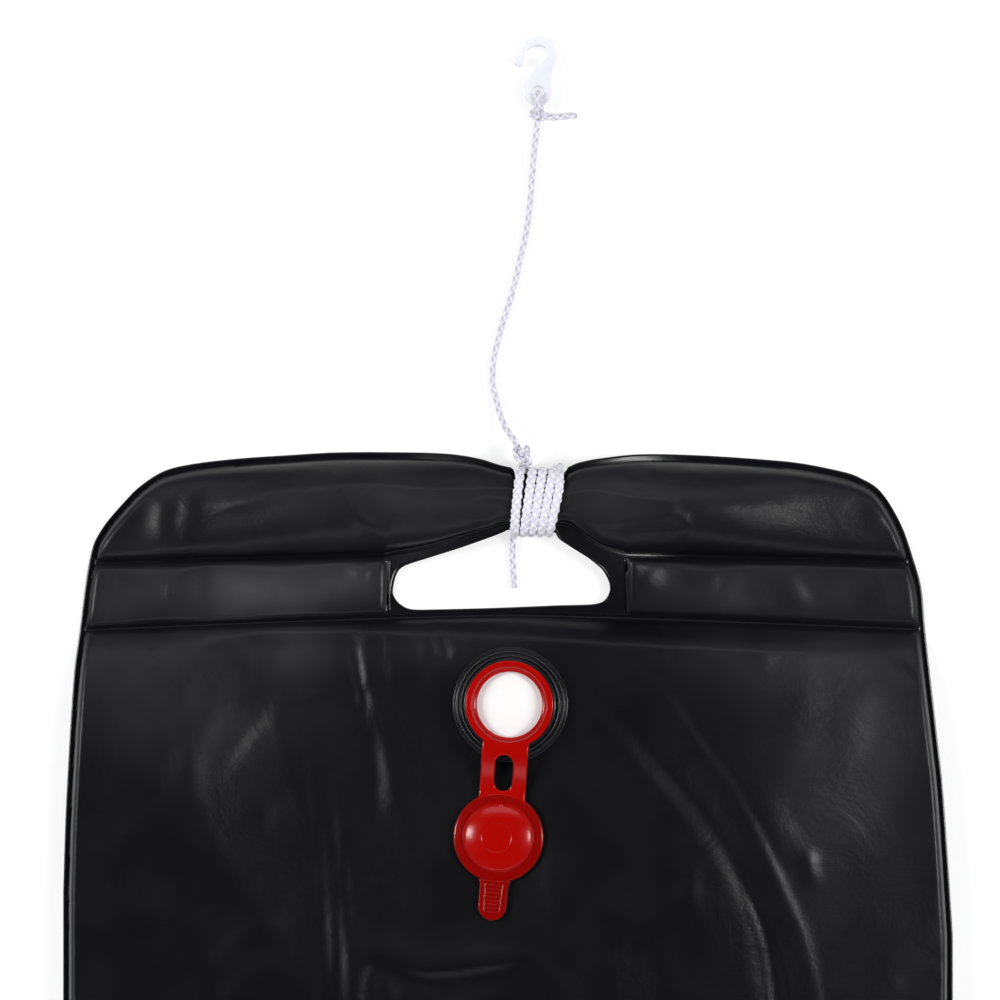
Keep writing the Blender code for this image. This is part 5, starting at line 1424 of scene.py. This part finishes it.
@dataclass(frozen=True)
class HookForm:
    """The hook's sizes, and the place of its eye, in millimetres."""

    reach: float = 25.3
    thick: float = 3.4
    eye: float = 2.8
    rim: float = 6.2
    soft_edge: float = 1.0
    place: Triple = (13.5, 474.6, 4.7)

    def matrix(self) -> Matrix:
        """Return the hook's frame, at its eye, tilted so that its tip rests on the ground."""
        tilt = math.asin((self.place[2] - self.thick / 2) / self.reach)
        return Matrix.Translation([value * MM for value in self.place]) @ Matrix.Rotation(-tilt, 4, "X")


@dataclass
class Cords(Assembly):
    """The cord: its winding round the handle, its knots, its free run and its short ends."""

    braid: Braid = field(default_factory=Braid)
    wound: Braid = field(default_factory=lambda: Braid(widen=1.44, core=0.4))
    hook_form: HookForm = field(default_factory=HookForm)
    pitch: float = 4.2 * MM
    turns: int = 4
    turn_points: int = 24
    lean: float = 2.6 * MM
    lean_change: float = -0.42 * MM
    top_right: float = 22.6 * MM
    first_gap: float = 0.9 * MM
    second_layer: float = 3.9 * MM
    half_height: float = 12.4 * MM
    knot_radius: float = 3.6 * MM
    knot_step: float = 0.32 * MM
    handle_knot: Triple = (6.8 * MM, 311.4 * MM, 12.5 * MM)
    handle_spread: Triple = (3.4, 4.7, 2.0)
    handle_turn: Pair = (28, 24)
    knot_cord: float = 2.8 * MM
    loop_cord: float = 3 * MM
    loop_step: float = 0.36 * MM
    loop_squareness: float = 0.65
    loop_turn: int = 140
    hook_knot_radius: float = 2.6 * MM
    hook_knot_cord: float = 2.7 * MM
    hook_spread: Triple = (3.4, 3.0, 1.2)
    hook_turn: Pair = (-70, 0)

    def ring(self, turn: float, x: float, layer: float = 0.0) -> Places:
        """Return a place round the handle: turn is 90 at the top edge and 0 in front."""
        room = self.form.gap + self.form.cord / 2 + layer
        angle = math.radians(turn)
        return np.array((x, self.form.gather_y + (self.half_height + room) * math.sin(angle),
                         self.form.handle_height + (self.form.handle_half + room) * math.cos(angle)))

    def winding_points(self) -> Places:
        """Return the winding's centreline, from the knot behind the turns to the right, then round the handle."""
        left, right = self.handle_knot[0], self.top_right
        knot = np.array(self.handle_knot)
        towards = knot - self.ring(WINDING_START_TURN, left, self.second_layer)
        towards /= np.linalg.norm(towards)
        end = knot - towards * (self.knot_radius + self.form.gap)
        lane = [self.ring(turn, left + (right - left) * share, self.second_layer * layer)
                for turn, share, layer in WINDING_START]
        cord = self.form.cord
        line = [end, *even_line([end - towards * cord, *lane, self.ring(90, right)], cord)[:-1]]
        for k in range(self.turn_points * self.turns + self.turn_points // 2 + 1):
            turned = k / self.turn_points
            last_back = float(ease(2 * (turned - self.turns) + 1))
            leaning = (self.lean + self.lean_change * turned) * math.sin(math.radians(90 - 360 * turned))
            leaning *= float(ease(4 * turned)) * (1 - float(ease(4 * (turned - self.turns) - 1)))
            across = right - self.pitch * turned - self.first_gap * last_back + leaning
            line.append(self.ring(90 - 360 * turned, across))
        return np.array([*line, line[-1] - (0, 0, cord)])

    def hook_loop(self) -> Places:
        """Return the closed line of the loop that passes through the hook's eye and round its rim."""
        hook = self.hook_form
        eye = np.array(hook.matrix())
        rim = (hook.eye * MM + hook.rim * MM) / 2
        across = hook.thick / 2 * MM + 2 * self.form.gap + self.loop_cord / 2
        over = hook.thick / 2 * MM + self.form.gap + self.loop_cord / 2
        turns = np.radians(np.arange(-self.loop_turn, self.loop_turn + 1, 14))
        wide, high = (np.sign(way) * np.abs(way) ** self.loop_squareness
                      for way in (np.sin(turns + math.pi / 2), np.sin(turns)))
        loop = np.column_stack([np.zeros(len(turns)), across * wide - rim, over * high])
        knot = np.array((0, -hook.rim * MM - self.form.gap - self.hook_knot_radius,
                         self.hook_knot_radius - hook.place[2] * MM))
        line = np.vstack([knot, loop, knot])
        return line @ eye[:3, :3].T + eye[:3, 3]

    def knot(self, middle: Sequence[float], spread: Triple, turn: Pair, thick: float) -> Shape:
        """Tie a drawn-up overhand knot.

        Args:
            middle: The knot's middle.
            spread: Its half sizes in millimetres.
            turn: Its turns about Z and X, in degrees.
            thick: The cord's thickness in it.

        Returns:
            The knot's shape.
        """
        t = np.linspace(0, 2 * math.pi, 60, endpoint=False)
        line = np.column_stack([np.sin(t) + 2 * np.sin(2 * t), np.cos(t) - 2 * np.cos(2 * t), -np.sin(3 * t)])
        line = line / (3, 3, 1) * (np.array(spread) * MM)
        turned = Matrix.Rotation(math.radians(turn[0]), 4, "Z") @ Matrix.Rotation(math.radians(turn[1]), 4, "X")
        line = line @ np.array(turned.to_3x3()).T + np.array(middle)
        return Braid(thick=thick, step=self.knot_step).shape(line, closed=True)

    def stretch(self, name: str, shape: Shape, *replaces: str) -> Piece:
        """Add a stretch of the cord, which lies with the bag."""
        return self.add(name, shape, CORD, "bag", replaces)

    def build(self) -> None:
        """Make the winding, the knots, the free cord and the two short ends."""
        free_route, handle_route, hook_route = (
            np.array(route) * MM for route in (CORD_ROUTE, HANDLE_END_ROUTE, HOOK_END_ROUTE))
        self.stretch("cord_winding", self.wound.shape(self.winding_points()), "handle_winding")
        knot = self.knot(self.handle_knot, self.handle_spread, self.handle_turn, self.knot_cord)
        self.stretch("cord_handle_knot", knot, "handle_knot")
        self.stretch("cord_handle_end", self.braid.shape(handle_route), "handle_cord_end")
        end = self.stretch("cord_hook_end", self.braid.shape(hook_route), "hook_cord_end")
        line = self.hook_loop()
        loop = self.stretch("cord_hook_loop", Braid(thick=self.loop_cord, step=self.loop_step).shape(line), "hook_knot")
        knot = self.knot(line[0], self.hook_spread, self.hook_turn, self.hook_knot_cord)
        tied = self.stretch("cord_hook_knot", knot)
        free = self.stretch("cord_free_run", self.braid.shape(free_route), "cord_free")


@dataclass
class Filler(Assembly):
    """The filler: its collar, the red ring, strap and cap, and the white valve. Its sizes are in millimetres."""

    steps: int = 160
    ring_radius: float = 19.6
    recess: float = 17.0
    bore: float = 14.7
    skirt_depth: float = 5.2
    strap_half: float = 10.3
    strap_thick: float = 1.6
    strap_drop: float = 7.2
    strap_lap: float = 1.3
    strap_flare: float = 12.6
    strap_neck: float = 3.6
    ring_spread: float = 0.755
    soft_edge: float = 0.95
    fold_y: float = -29.8
    blend_ends: Pair = (-23.0, -36.6)
    slot_middle: float = -30.7
    slot_half: Pair = (4.1, 8.1)
    cap_distance: float = 59.6
    cap_face: float = -7.5
    cap_radius: float = 20.2
    cap_thick: float = 1.8
    plug_radius: float = 16.0
    plug_side: float = 1.5
    plug_wall: float = 1.2
    dome_wall: float = 1.25
    dome_height: float = 2.8
    dome_power: float = 2.5
    gate_radius: float = 6.45
    gate_depth: float = 0.25
    gate_edge: float = 0.45
    gate_left: float = 0.7
    tab_half: float = 6.3
    tab_end: float = 37.2
    tab_thick: float = 1.4
    tab_drop: float = 0.06
    ribs: int = 8
    rib_radius: float = 0.45
    rib_end: float = 0.36
    rail_height: float = -0.43
    rib_height: float = -0.3
    teeth: int = 120
    tooth_height: float = 0.09
    tooth_floor: float = -8.3
    tooth_band: Pair = (21.0, 24.2)

    def placed(self, shape: Shape, across: float = 0, along: float = 0, up: float = 0) -> Shape:
        """Turn a shape made in millimetres about a place of the filler's frame into the whole object's frame."""
        place = self.form.filler_matrix() @ Matrix.Scale(MM, 4) @ Matrix.Translation((across, along, up))
        bmesh.ops.transform(shape, matrix=place, verts=shape.verts)
        return shape

    def on_cap(self, shape: Shape) -> Shape:
        """Turn a shape made in millimetres about the cap's middle into the whole object's frame."""
        return self.placed(shape, 0, -self.cap_distance, self.cap_face)

    def strap_level(self, y: Places) -> Places:
        """Return the height of the strap's upper face along it."""
        start = -self.ring_radius
        return -self.strap_drop * ease((start - y) / (2 * (start - self.fold_y))) - 0.03

    def collar(self) -> None:
        """Make the collar: the welded flange, its round ridges and the neck."""
        profile = rounded([
            (17, -10, 0.1), (25.9, -10, 0.02), (25.9, -9.94, 0.02), (25.7, -9.92, 0.05),
            (25.5, -9.7, 0.1), (25.0, -9.68, 0.1), (24.8, -9.75, 0.1), (24.45, -9.7, 0.15), (24.05, -8.1, 0.35),
            (23.3, -8.1, 0.35), (23.0, -8.7, 0.15), (22.7, -8.6, 0.15), (22.3, -7.3, 0.5), (21.4, -7.1, 0.5),
            (21.0, -7.9, 0.2), (20.75, -7.8, 0.15), (20.6, -3.9, 0.4), (20.2, -3.7, 0.2), (16, -3.7, 0.2),
            (16, -4.9, 0.1), (17, -5.0, 0.1),
        ])
        shape = spun(profile, 4 * self.teeth)
        for vert in shape.verts:
            away = math.hypot(vert.co.x, vert.co.y)
            if vert.co.z > self.tooth_floor and self.tooth_band[0] < away < self.tooth_band[1]:
                vert.co.z += self.tooth_height * math.sin(self.teeth * math.atan2(vert.co.y, vert.co.x))
        self.add("filler_collar_body", self.placed(shape), MOULDING, "bag", ["filler_collar"])

    def ring(self) -> None:
        """Make the red ring with its hollowed inner face and its skirt."""
        profile = rounded([
            (self.bore, -self.skirt_depth, 0.15), (16.3, -self.skirt_depth, 0.15), (16.5, -4.8, 0.1),
            (15.7, -4.8, 0.05), (15.7, -3.4, 0.1), (self.ring_radius, -3.4, 0.35), (self.ring_radius, 0, 0.5),
            (self.recess, 0, 0.16), (16.92, -0.5, 0.12), (16.4, -1.55, 0.7), (15.4, -2.25, 0.4), (14.72, -2.35, 0.1),
        ], 6)
        self.add("red_ring", self.placed(spun(profile, self.steps)), RED, "ring", ["cap_ring"])

    def fillet(self, start: Places, side: float, up: float) -> Places:
        """Return the curve from a corner at the strap's end to its straight side."""
        t, neck = np.linspace(0, 1, 9)[:, None], self.strap_neck
        end = np.array((self.strap_half * side, start[1] + up * neck))
        bend = np.array((self.strap_half * side * 1.03, start[1] + up * 0.35 * neck))
        return start * (1 - t) ** 2 + 2 * bend * t * (1 - t) + end * t**2

    def strap_rim(self, count: int) -> Places:
        """Return the strap's outline: two straight sides, a hollow end at the ring and one at the cap."""
        near, far = self.ring_radius - self.strap_lap, self.cap_radius - self.strap_lap
        turns = np.linspace(-self.ring_spread, self.ring_spread, 40)
        ring_end = near * np.array([(math.sin(a), -math.cos(a)) for a in turns])
        angle = math.asin(self.strap_flare / far)
        cap_end = far * np.array([(math.sin(a), math.cos(a)) for a in np.linspace(angle, -angle, 40)])
        cap_end += (0, -self.cap_distance)
        right = [self.fillet(ring_end[-1], 1, -1), self.fillet(cap_end[0], 1, 1)[::-1]]
        left = [self.fillet(cap_end[-1], -1, 1), self.fillet(ring_end[0], -1, -1)[::-1]]
        loop = np.vstack([ring_end, right[0][1:], right[1], cap_end[1:], left[0][1:], left[1]])
        run = run_of(loop)
        at = np.linspace(0, run[-1], count, endpoint=False)
        return np.column_stack([np.interp(at, run, loop[:, k]) for k in range(2)])

    def strap(self) -> None:
        """Make the strap with its round-ended slot, which bends between the ring and the cap."""
        count, rows = 168, 9
        outer = self.strap_rim(count)
        half, reach = self.slot_half
        run = reach - half
        slot = spaced(np.vstack([arc((0, self.slot_middle - run), half, 180, 360, 40),
                                 arc((0, self.slot_middle + run), half, 0, 180, 40)]), 0.3, closed=True)[:-1]
        middle = np.array((0, self.slot_middle))
        turns = np.arctan2(*(slot - middle).T[::-1])
        order = np.argsort(turns)
        wanted = np.arctan2(*(outer - middle).T[::-1])
        size = np.interp(wanted, turns[order], np.linalg.norm(slot - middle, axis=1)[order], period=2 * math.pi)
        inner = middle + size[:, None] * np.column_stack([np.cos(wanted), np.sin(wanted)])
        across = np.linalg.norm(outer - inner, axis=1)[:, None]
        way = (outer - inner) / across
        turn = np.radians(np.linspace(0, 90, 7))
        soft, drop = self.soft_edge * (1 - np.cos(turn)), 0.6 * self.soft_edge * (1 - np.sin(turn))
        rise = [(inner + way * out, down) for out, down in zip(soft, drop)]
        rise += [(inner + way * (self.soft_edge + (across - 2 * self.soft_edge) * share), 0.0)
                 for share in np.linspace(0, 1, rows)[1:-1]]
        rise += [(outer - way * out, down) for out, down in zip(soft[::-1], drop[::-1])]
        rise += [(at, self.strap_thick) for at in (outer, inner)]
        wall = np.array([np.column_stack([at, self.strap_level(at[:, 1]) - down]) for at, down in rise])
        wall = np.concatenate([wall, wall[:1]])
        wall = np.concatenate([wall, wall[:, :1]], axis=1)
        strap = self.add("red_strap", self.placed(closed_up(joined([grid_mesh(wall)]))), RED, "")
        start, end = (self.form.filler_matrix() @ (Vector((0, y, -self.strap_drop / 2)) * MM) for y in self.blend_ends)
        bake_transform(strap)

    def dome(self, radius: float, size: float) -> float:
        """Return the dome's height at a radius, for a dome of a size."""
        return float(self.dome_height * (1 - (radius / size) ** self.dome_power) + self.plug_side)

    def cap(self) -> None:
        """Make the cap: its flange, and its hollow domed plug with the round mark and the nub."""
        radius, inside = self.plug_radius, self.plug_radius - self.plug_wall
        edge, under = self.cap_radius, -self.cap_thick
        out = [0.0, *np.linspace(0.4, 5.2, 9), *np.linspace(5.35, 7.6, 16), *np.linspace(8.2, 14.4, 12)]
        profile = [(r, self.dome(r, radius), 0.0) for r in out]
        profile += [(radius - 0.7, 1.45, 0.9), (radius + 0.05, 0.5, 0.4), (radius + 0.05, under, 0.2),
                    (inside, under, 0.2)]
        profile += [(r, self.dome(r, inside) - self.dome_wall, 0.0)
                    for r in np.linspace(radius - self.dome_wall, 0.6, 12)]
        profile.append((0.0, self.dome(0.0, radius) - self.dome_wall, 0.0))
        shape = spun(rounded(profile, 5), self.steps)
        for vert in shape.verts:
            if vert.co.z > self.plug_side:
                away = math.hypot(vert.co.x + self.gate_left, vert.co.y)
                vert.co.z -= self.gate_depth * (1 - float(ease(np.array((away - self.gate_radius) / self.gate_edge))))
        bmesh.ops.create_icosphere(shape, subdivisions=4, radius=1.0,
                                   matrix=Matrix.Translation((0.3, 14.3, 2.0)) @ Matrix.Diagonal((1, 1, 0.62, 1)))
        self.add("red_cap", self.on_cap(shape), RED, "cap", ["filler_cap"])
        flange = rounded([(radius - 0.6, 0.35, 0.05), (radius + 0.7, 0.3, 0.4), (edge, -0.3, 0.85), (edge, under, 0.3),
                          (radius - 0.6, under, 0.1)], 6)
        # The flange takes the darker red, which is painted shade
        self.add("red_cap_flange", self.on_cap(spun(flange, self.steps)), SHADED_RED, "cap")

    def tab(self) -> None:
        """Make the pull tab and its ribs."""
        half, end = self.tab_half, -self.tab_end + self.tab_half
        start = -(self.cap_radius - 1.0)
        rim = np.vstack([[(half * 1.16, start)], [(half * 1.02, start - 1.6)], arc((0, end), half, 0, -180, 32),
                         [(-half * 1.02, start - 1.6)], [(-half * 1.16, start)]])
        shape = bmesh.new()
        face = shape.faces.new([shape.verts.new((x, y, -self.tab_thick - self.tab_drop)) for x, y in rim])
        thickened(shape, [face], self.tab_thick, 0.6, 4, held=False)
        low, high = self.rail_height, self.rib_height
        lines = [((side * 4.1, -20.5, low), (side * 3.5, -33.8, low)) for side in (-1, 1)]
        lines += [((-wide, y, high), (wide, y, high)) for wide, y in zip(np.linspace(3.9, 3.35, self.ribs),
                                                                         np.linspace(-21.4, -33.4, self.ribs))]
        for line in lines:
            route = even_line(line, 0.25)
            along = run_of(route)
            size = self.rib_radius * np.sqrt(np.clip(np.minimum(along, along[-1] - along) / self.rib_end, 0.001, 1))
            mesh = grid_mesh(tube(route, size, 12))
            shape.from_mesh(mesh)
            bpy.data.meshes.remove(mesh)
        bmesh.ops.remove_doubles(shape, verts=shape.verts, dist=0.001)
        # The tab takes the darker red, which is painted shade
        self.add("red_tab", self.on_cap(shape), SHADED_RED, "cap")

    def build(self) -> None:
        """Make the filler's pieces, and dress the valve."""
        for make in (self.collar, self.ring, self.strap, self.cap, self.tab):
            make()
        for node in ("valve_seat", "inlet_flap"):
            self.dress(node, WHITE)


@dataclass
class Fittings(Assembly):
    """The hang hook, the outlet tube and the tube in the handle. The outlet's profile is in millimetres."""

    hook_form: HookForm = field(default_factory=HookForm)
    outlet_inner: float = 4.0
    outlet_outer: float = 6.0
    outlet_neck: float = 5.3
    outlet_length: float = 50.0
    barbs: Pair = (38.0, 44.0)
    outlet_height: float = 6.8 * MM

    def hook(self) -> None:
        """Make the flat hook with its eye and its well rounded edges."""
        form = self.hook_form
        edge = smooth_line(HOOK_SHARES, 6) * form.reach
        loop = np.vstack([edge, arc((0, 0), form.rim, -165, -15, 30)])
        hole = arc((0, 0), form.eye, 0, 360, 48)[:-1]
        shape = bmesh.new()
        rims = []
        for line in (loop, hole):
            verts = [shape.verts.new((x, y, -form.thick / 2)) for x, y in line]
            rims += [shape.edges.new((verts[i - 1], verts[i])) for i in range(len(verts))]
        filled = bmesh.ops.triangle_fill(shape, edges=rims, use_beauty=True)
        faces = [item for item in filled["geom"] if isinstance(item, bmesh.types.BMFace)]
        thickened(shape, faces, form.thick, form.soft_edge, 5, held=True)
        bmesh.ops.transform(shape, matrix=form.matrix() @ Matrix.Scale(MM, 4), verts=shape.verts)
        self.add("hook_body", shape, HOOK, "hook", ["hang_hook"], sharp=60)

    def outlet(self) -> None:
        """Make the barbed outlet tube."""
        inner, outer, neck, end = self.outlet_inner, self.outlet_outer, self.outlet_neck, self.outlet_length
        profile = [(inner, 0.0, 0.25), (outer, 0.0, 0.25), (outer, 26.0, 0.2), (neck, 26.2, 0.15)]
        for start in self.barbs:
            profile += [(neck, start, 0.1), (outer, start + 0.15, 0.2), (outer - 0.05, start + 0.7, 0.2),
                        (neck, start + 4.0, 0.2)]
        profile += [(neck, end, 0.3), (inner, end, 0.25)]
        shape = spun(rounded(profile), 96)
        foot = self.form.top_y - (self.form.length - self.form.outlet_inside)
        place = Matrix.Translation((0, foot, self.outlet_height)) @ Matrix.Rotation(math.pi / 2, 4, "X")
        bmesh.ops.transform(shape, matrix=place @ Matrix.Scale(MM, 4), verts=shape.verts)
        self.add("outlet_body", shape, MOULDING, "bag", ["outlet_tube"])

    def build(self) -> None:
        """Make the hook and the outlet, and dress the handle's tube."""
        self.hook()
        self.outlet()
        self.dress("handle_tube", MOULDING)


@dataclass(frozen=True)
class Softbox:
    """A soft light: its place, its aim and its size in metres, and its power in watts."""

    name: str
    place: Triple
    aim: Triple
    size: Pair
    power: float

    def hang(self) -> None:
        """Hang the light in its place."""
        lamp = bpy.data.lights.new(self.name, "AREA")
        lamp.shape, lamp.energy = "RECTANGLE", self.power
        lamp.size, lamp.size_y = self.size
        holder = bpy.data.objects.new(self.name, lamp)
        holder.location = self.place
        holder.rotation_euler = (Vector(self.aim) - Vector(self.place)).to_track_quat("-Z", "Y").to_euler()
        holder.visible_camera = False
        bpy.context.scene.collection.objects.link(holder)


SOFTBOXES = (
    Softbox("left_box", (-1.7, 0.37, 1.5), (0, 0.2, 0), (0.4, 0.9), 31),
    Softbox("right_box", (1.5, 0.21, 1.6), (0, 0.2, 0), (0.4, 0.9), 29),
    Softbox("far_box", (0, 1.6, 2.05), (0, 0.15, 0), (2.2, 0.5), 7),
    Softbox("near_box", (0, -2.1, 1.35), (0, 0.15, 0), (2.4, 0.6), 6),
    Softbox("left_low_box", (-2.3, 0.2, 0.75), (0, 0.2, 0), (1.6, 0.5), 4),
    Softbox("right_low_box", (2.3, 0.2, 0.75), (0, 0.2, 0), (1.6, 0.5), 4),
)


@dataclass
class Studio:
    """The floor, the soft lights and the camera."""

    camera_place: Triple = (-3.6 * MM, 291.3 * MM, 2.2)
    lens: float = 175.8
    sensor: float = 36
    sight: float = 50
    floor_half: float = 4
    floor_drop: float = 0.5 * MM
    floor_grey: float = 0.8
    shadow_grey: float = 0.35
    floor_glow: float = 0.7
    fade: Pair = (0.7, 1.7)
    low_sky: Triple = (0.26, 0.26, 0.27)
    middle_sky: Triple = (0.2, 0.2, 0.205)
    high_sky: Triple = (0.022, 0.022, 0.025)

    def floor(self) -> None:
        """Lay the pale floor, which reads as plain white and keeps the object's shadow."""
        shape = bmesh.new()
        bmesh.ops.create_grid(shape, x_segments=1, y_segments=1, size=self.floor_half)
        bmesh.ops.translate(shape, vec=(0, 0, -self.floor_drop), verts=shape.verts)
        mesh = bpy.data.meshes.new("floor")
        shape.to_mesh(mesh)
        shape.free()
        paint = bpy.data.materials.new("floor_paper")
        paint.use_nodes = True
        tree = paint.node_tree
        tree.nodes.clear()
        seen = self.seen(tree)
        plain = add_node(tree, "BsdfDiffuse", {"Color": (self.floor_grey,) * 3 + (1,)})
        shadow = add_node(tree, "BsdfDiffuse", {"Color": (self.shadow_grey,) * 3 + (1,)})
        glow = add_node(tree, "Emission", {"Color": (1, 1, 1, 1), "Strength": self.floor_glow})
        both = add_node(tree, "AddShader", {0: shadow.outputs[0], 1: glow.outputs[0]})
        white = add_node(tree, "Emission", {"Color": (1, 1, 1, 1), "Strength": 1.0})
        place = add_node(tree, "TexCoord").outputs["Object"]
        away = add_node(tree, "VectorMath", {0: place}, operation="LENGTH").outputs["Value"]
        far = add_node(tree, "MapRange", {"Value": away, "From Min": self.fade[0], "From Max": self.fade[1]})
        shown = add_node(tree, "MixShader", {0: far.outputs["Result"], 1: both.outputs[0], 2: white.outputs[0]})
        mixed = add_node(tree, "MixShader", {0: seen, 1: plain.outputs[0], 2: shown.outputs[0]})
        add_node(tree, "OutputMaterial", {"Surface": mixed.outputs[0]})
        mesh.materials.append(paint)
        piece = bpy.data.objects.new("floor", mesh)
        bpy.context.scene.collection.objects.link(piece)

    def seen(self, tree: Tree) -> Socket:
        """Return 1 for rays from the camera, and for those that gloss and glass send on."""
        path = add_node(tree, "LightPath")
        first = add_node(tree, "Math", {0: path.outputs["Is Camera Ray"], 1: path.outputs["Is Glossy Ray"]},
                         operation="MAXIMUM")
        return add_node(tree, "Math", {0: first.outputs[0], 1: path.outputs["Is Transmission Ray"]},
                        operation="MAXIMUM").outputs[0]

    def sky(self) -> None:
        """Light the scene from the world: pale low down, dim overhead, and white behind the object."""
        world = bpy.data.worlds.new("studio")
        world.use_nodes = True
        tree = world.node_tree
        tree.nodes.clear()
        place = add_node(tree, "TexCoord").outputs["Generated"]
        up = add_node(tree, "SeparateXYZ", {0: place}).outputs["Z"]
        colour = blended(tree, up, (0.0, self.low_sky), (0.5, self.middle_sky), (0.92, self.high_sky))
        around = add_node(tree, "Background", {"Color": colour, "Strength": 1.0})
        white = add_node(tree, "Background", {"Color": (1, 1, 1, 1), "Strength": 1.0})
        path = add_node(tree, "LightPath").outputs["Is Camera Ray"]
        mixed = add_node(tree, "MixShader", {0: path, 1: around.outputs[0], 2: white.outputs[0]})
        add_node(tree, "OutputWorld", {"Surface": mixed.outputs[0]})
        bpy.context.scene.world = world

    def camera(self) -> None:
        """Set the camera straight above the bag's upper part, as in the photograph."""
        made = bpy.data.cameras.new("camera")
        made.lens, made.sensor_width, made.clip_end = self.lens, self.sensor, self.sight
        holder = bpy.data.objects.new("camera", made)
        holder.location = self.camera_place
        bpy.context.scene.collection.objects.link(holder)
        bpy.context.scene.camera = holder

    def build(self) -> None:
        """Set up the camera, the floor and the lights."""
        self.camera()
        self.floor()
        self.sky()
        for box in SOFTBOXES:
            box.hang()
        bpy.context.scene.view_settings.view_transform = "Standard"


def main() -> None:
    """Build the shower bag and its studio, and report each piece."""
    logging.basicConfig(level=logging.INFO, format="%(name)s: %(message)s")
    Studio().build()
    form = BagForm()
    groups = [kind(form) for kind in (Fittings, Cords, Filler, Film)]
    for group in groups:
        group.build()
    LOG.info("%d pieces made", sum(len(group.made) for group in groups))


if __name__ == "__main__":
    main()
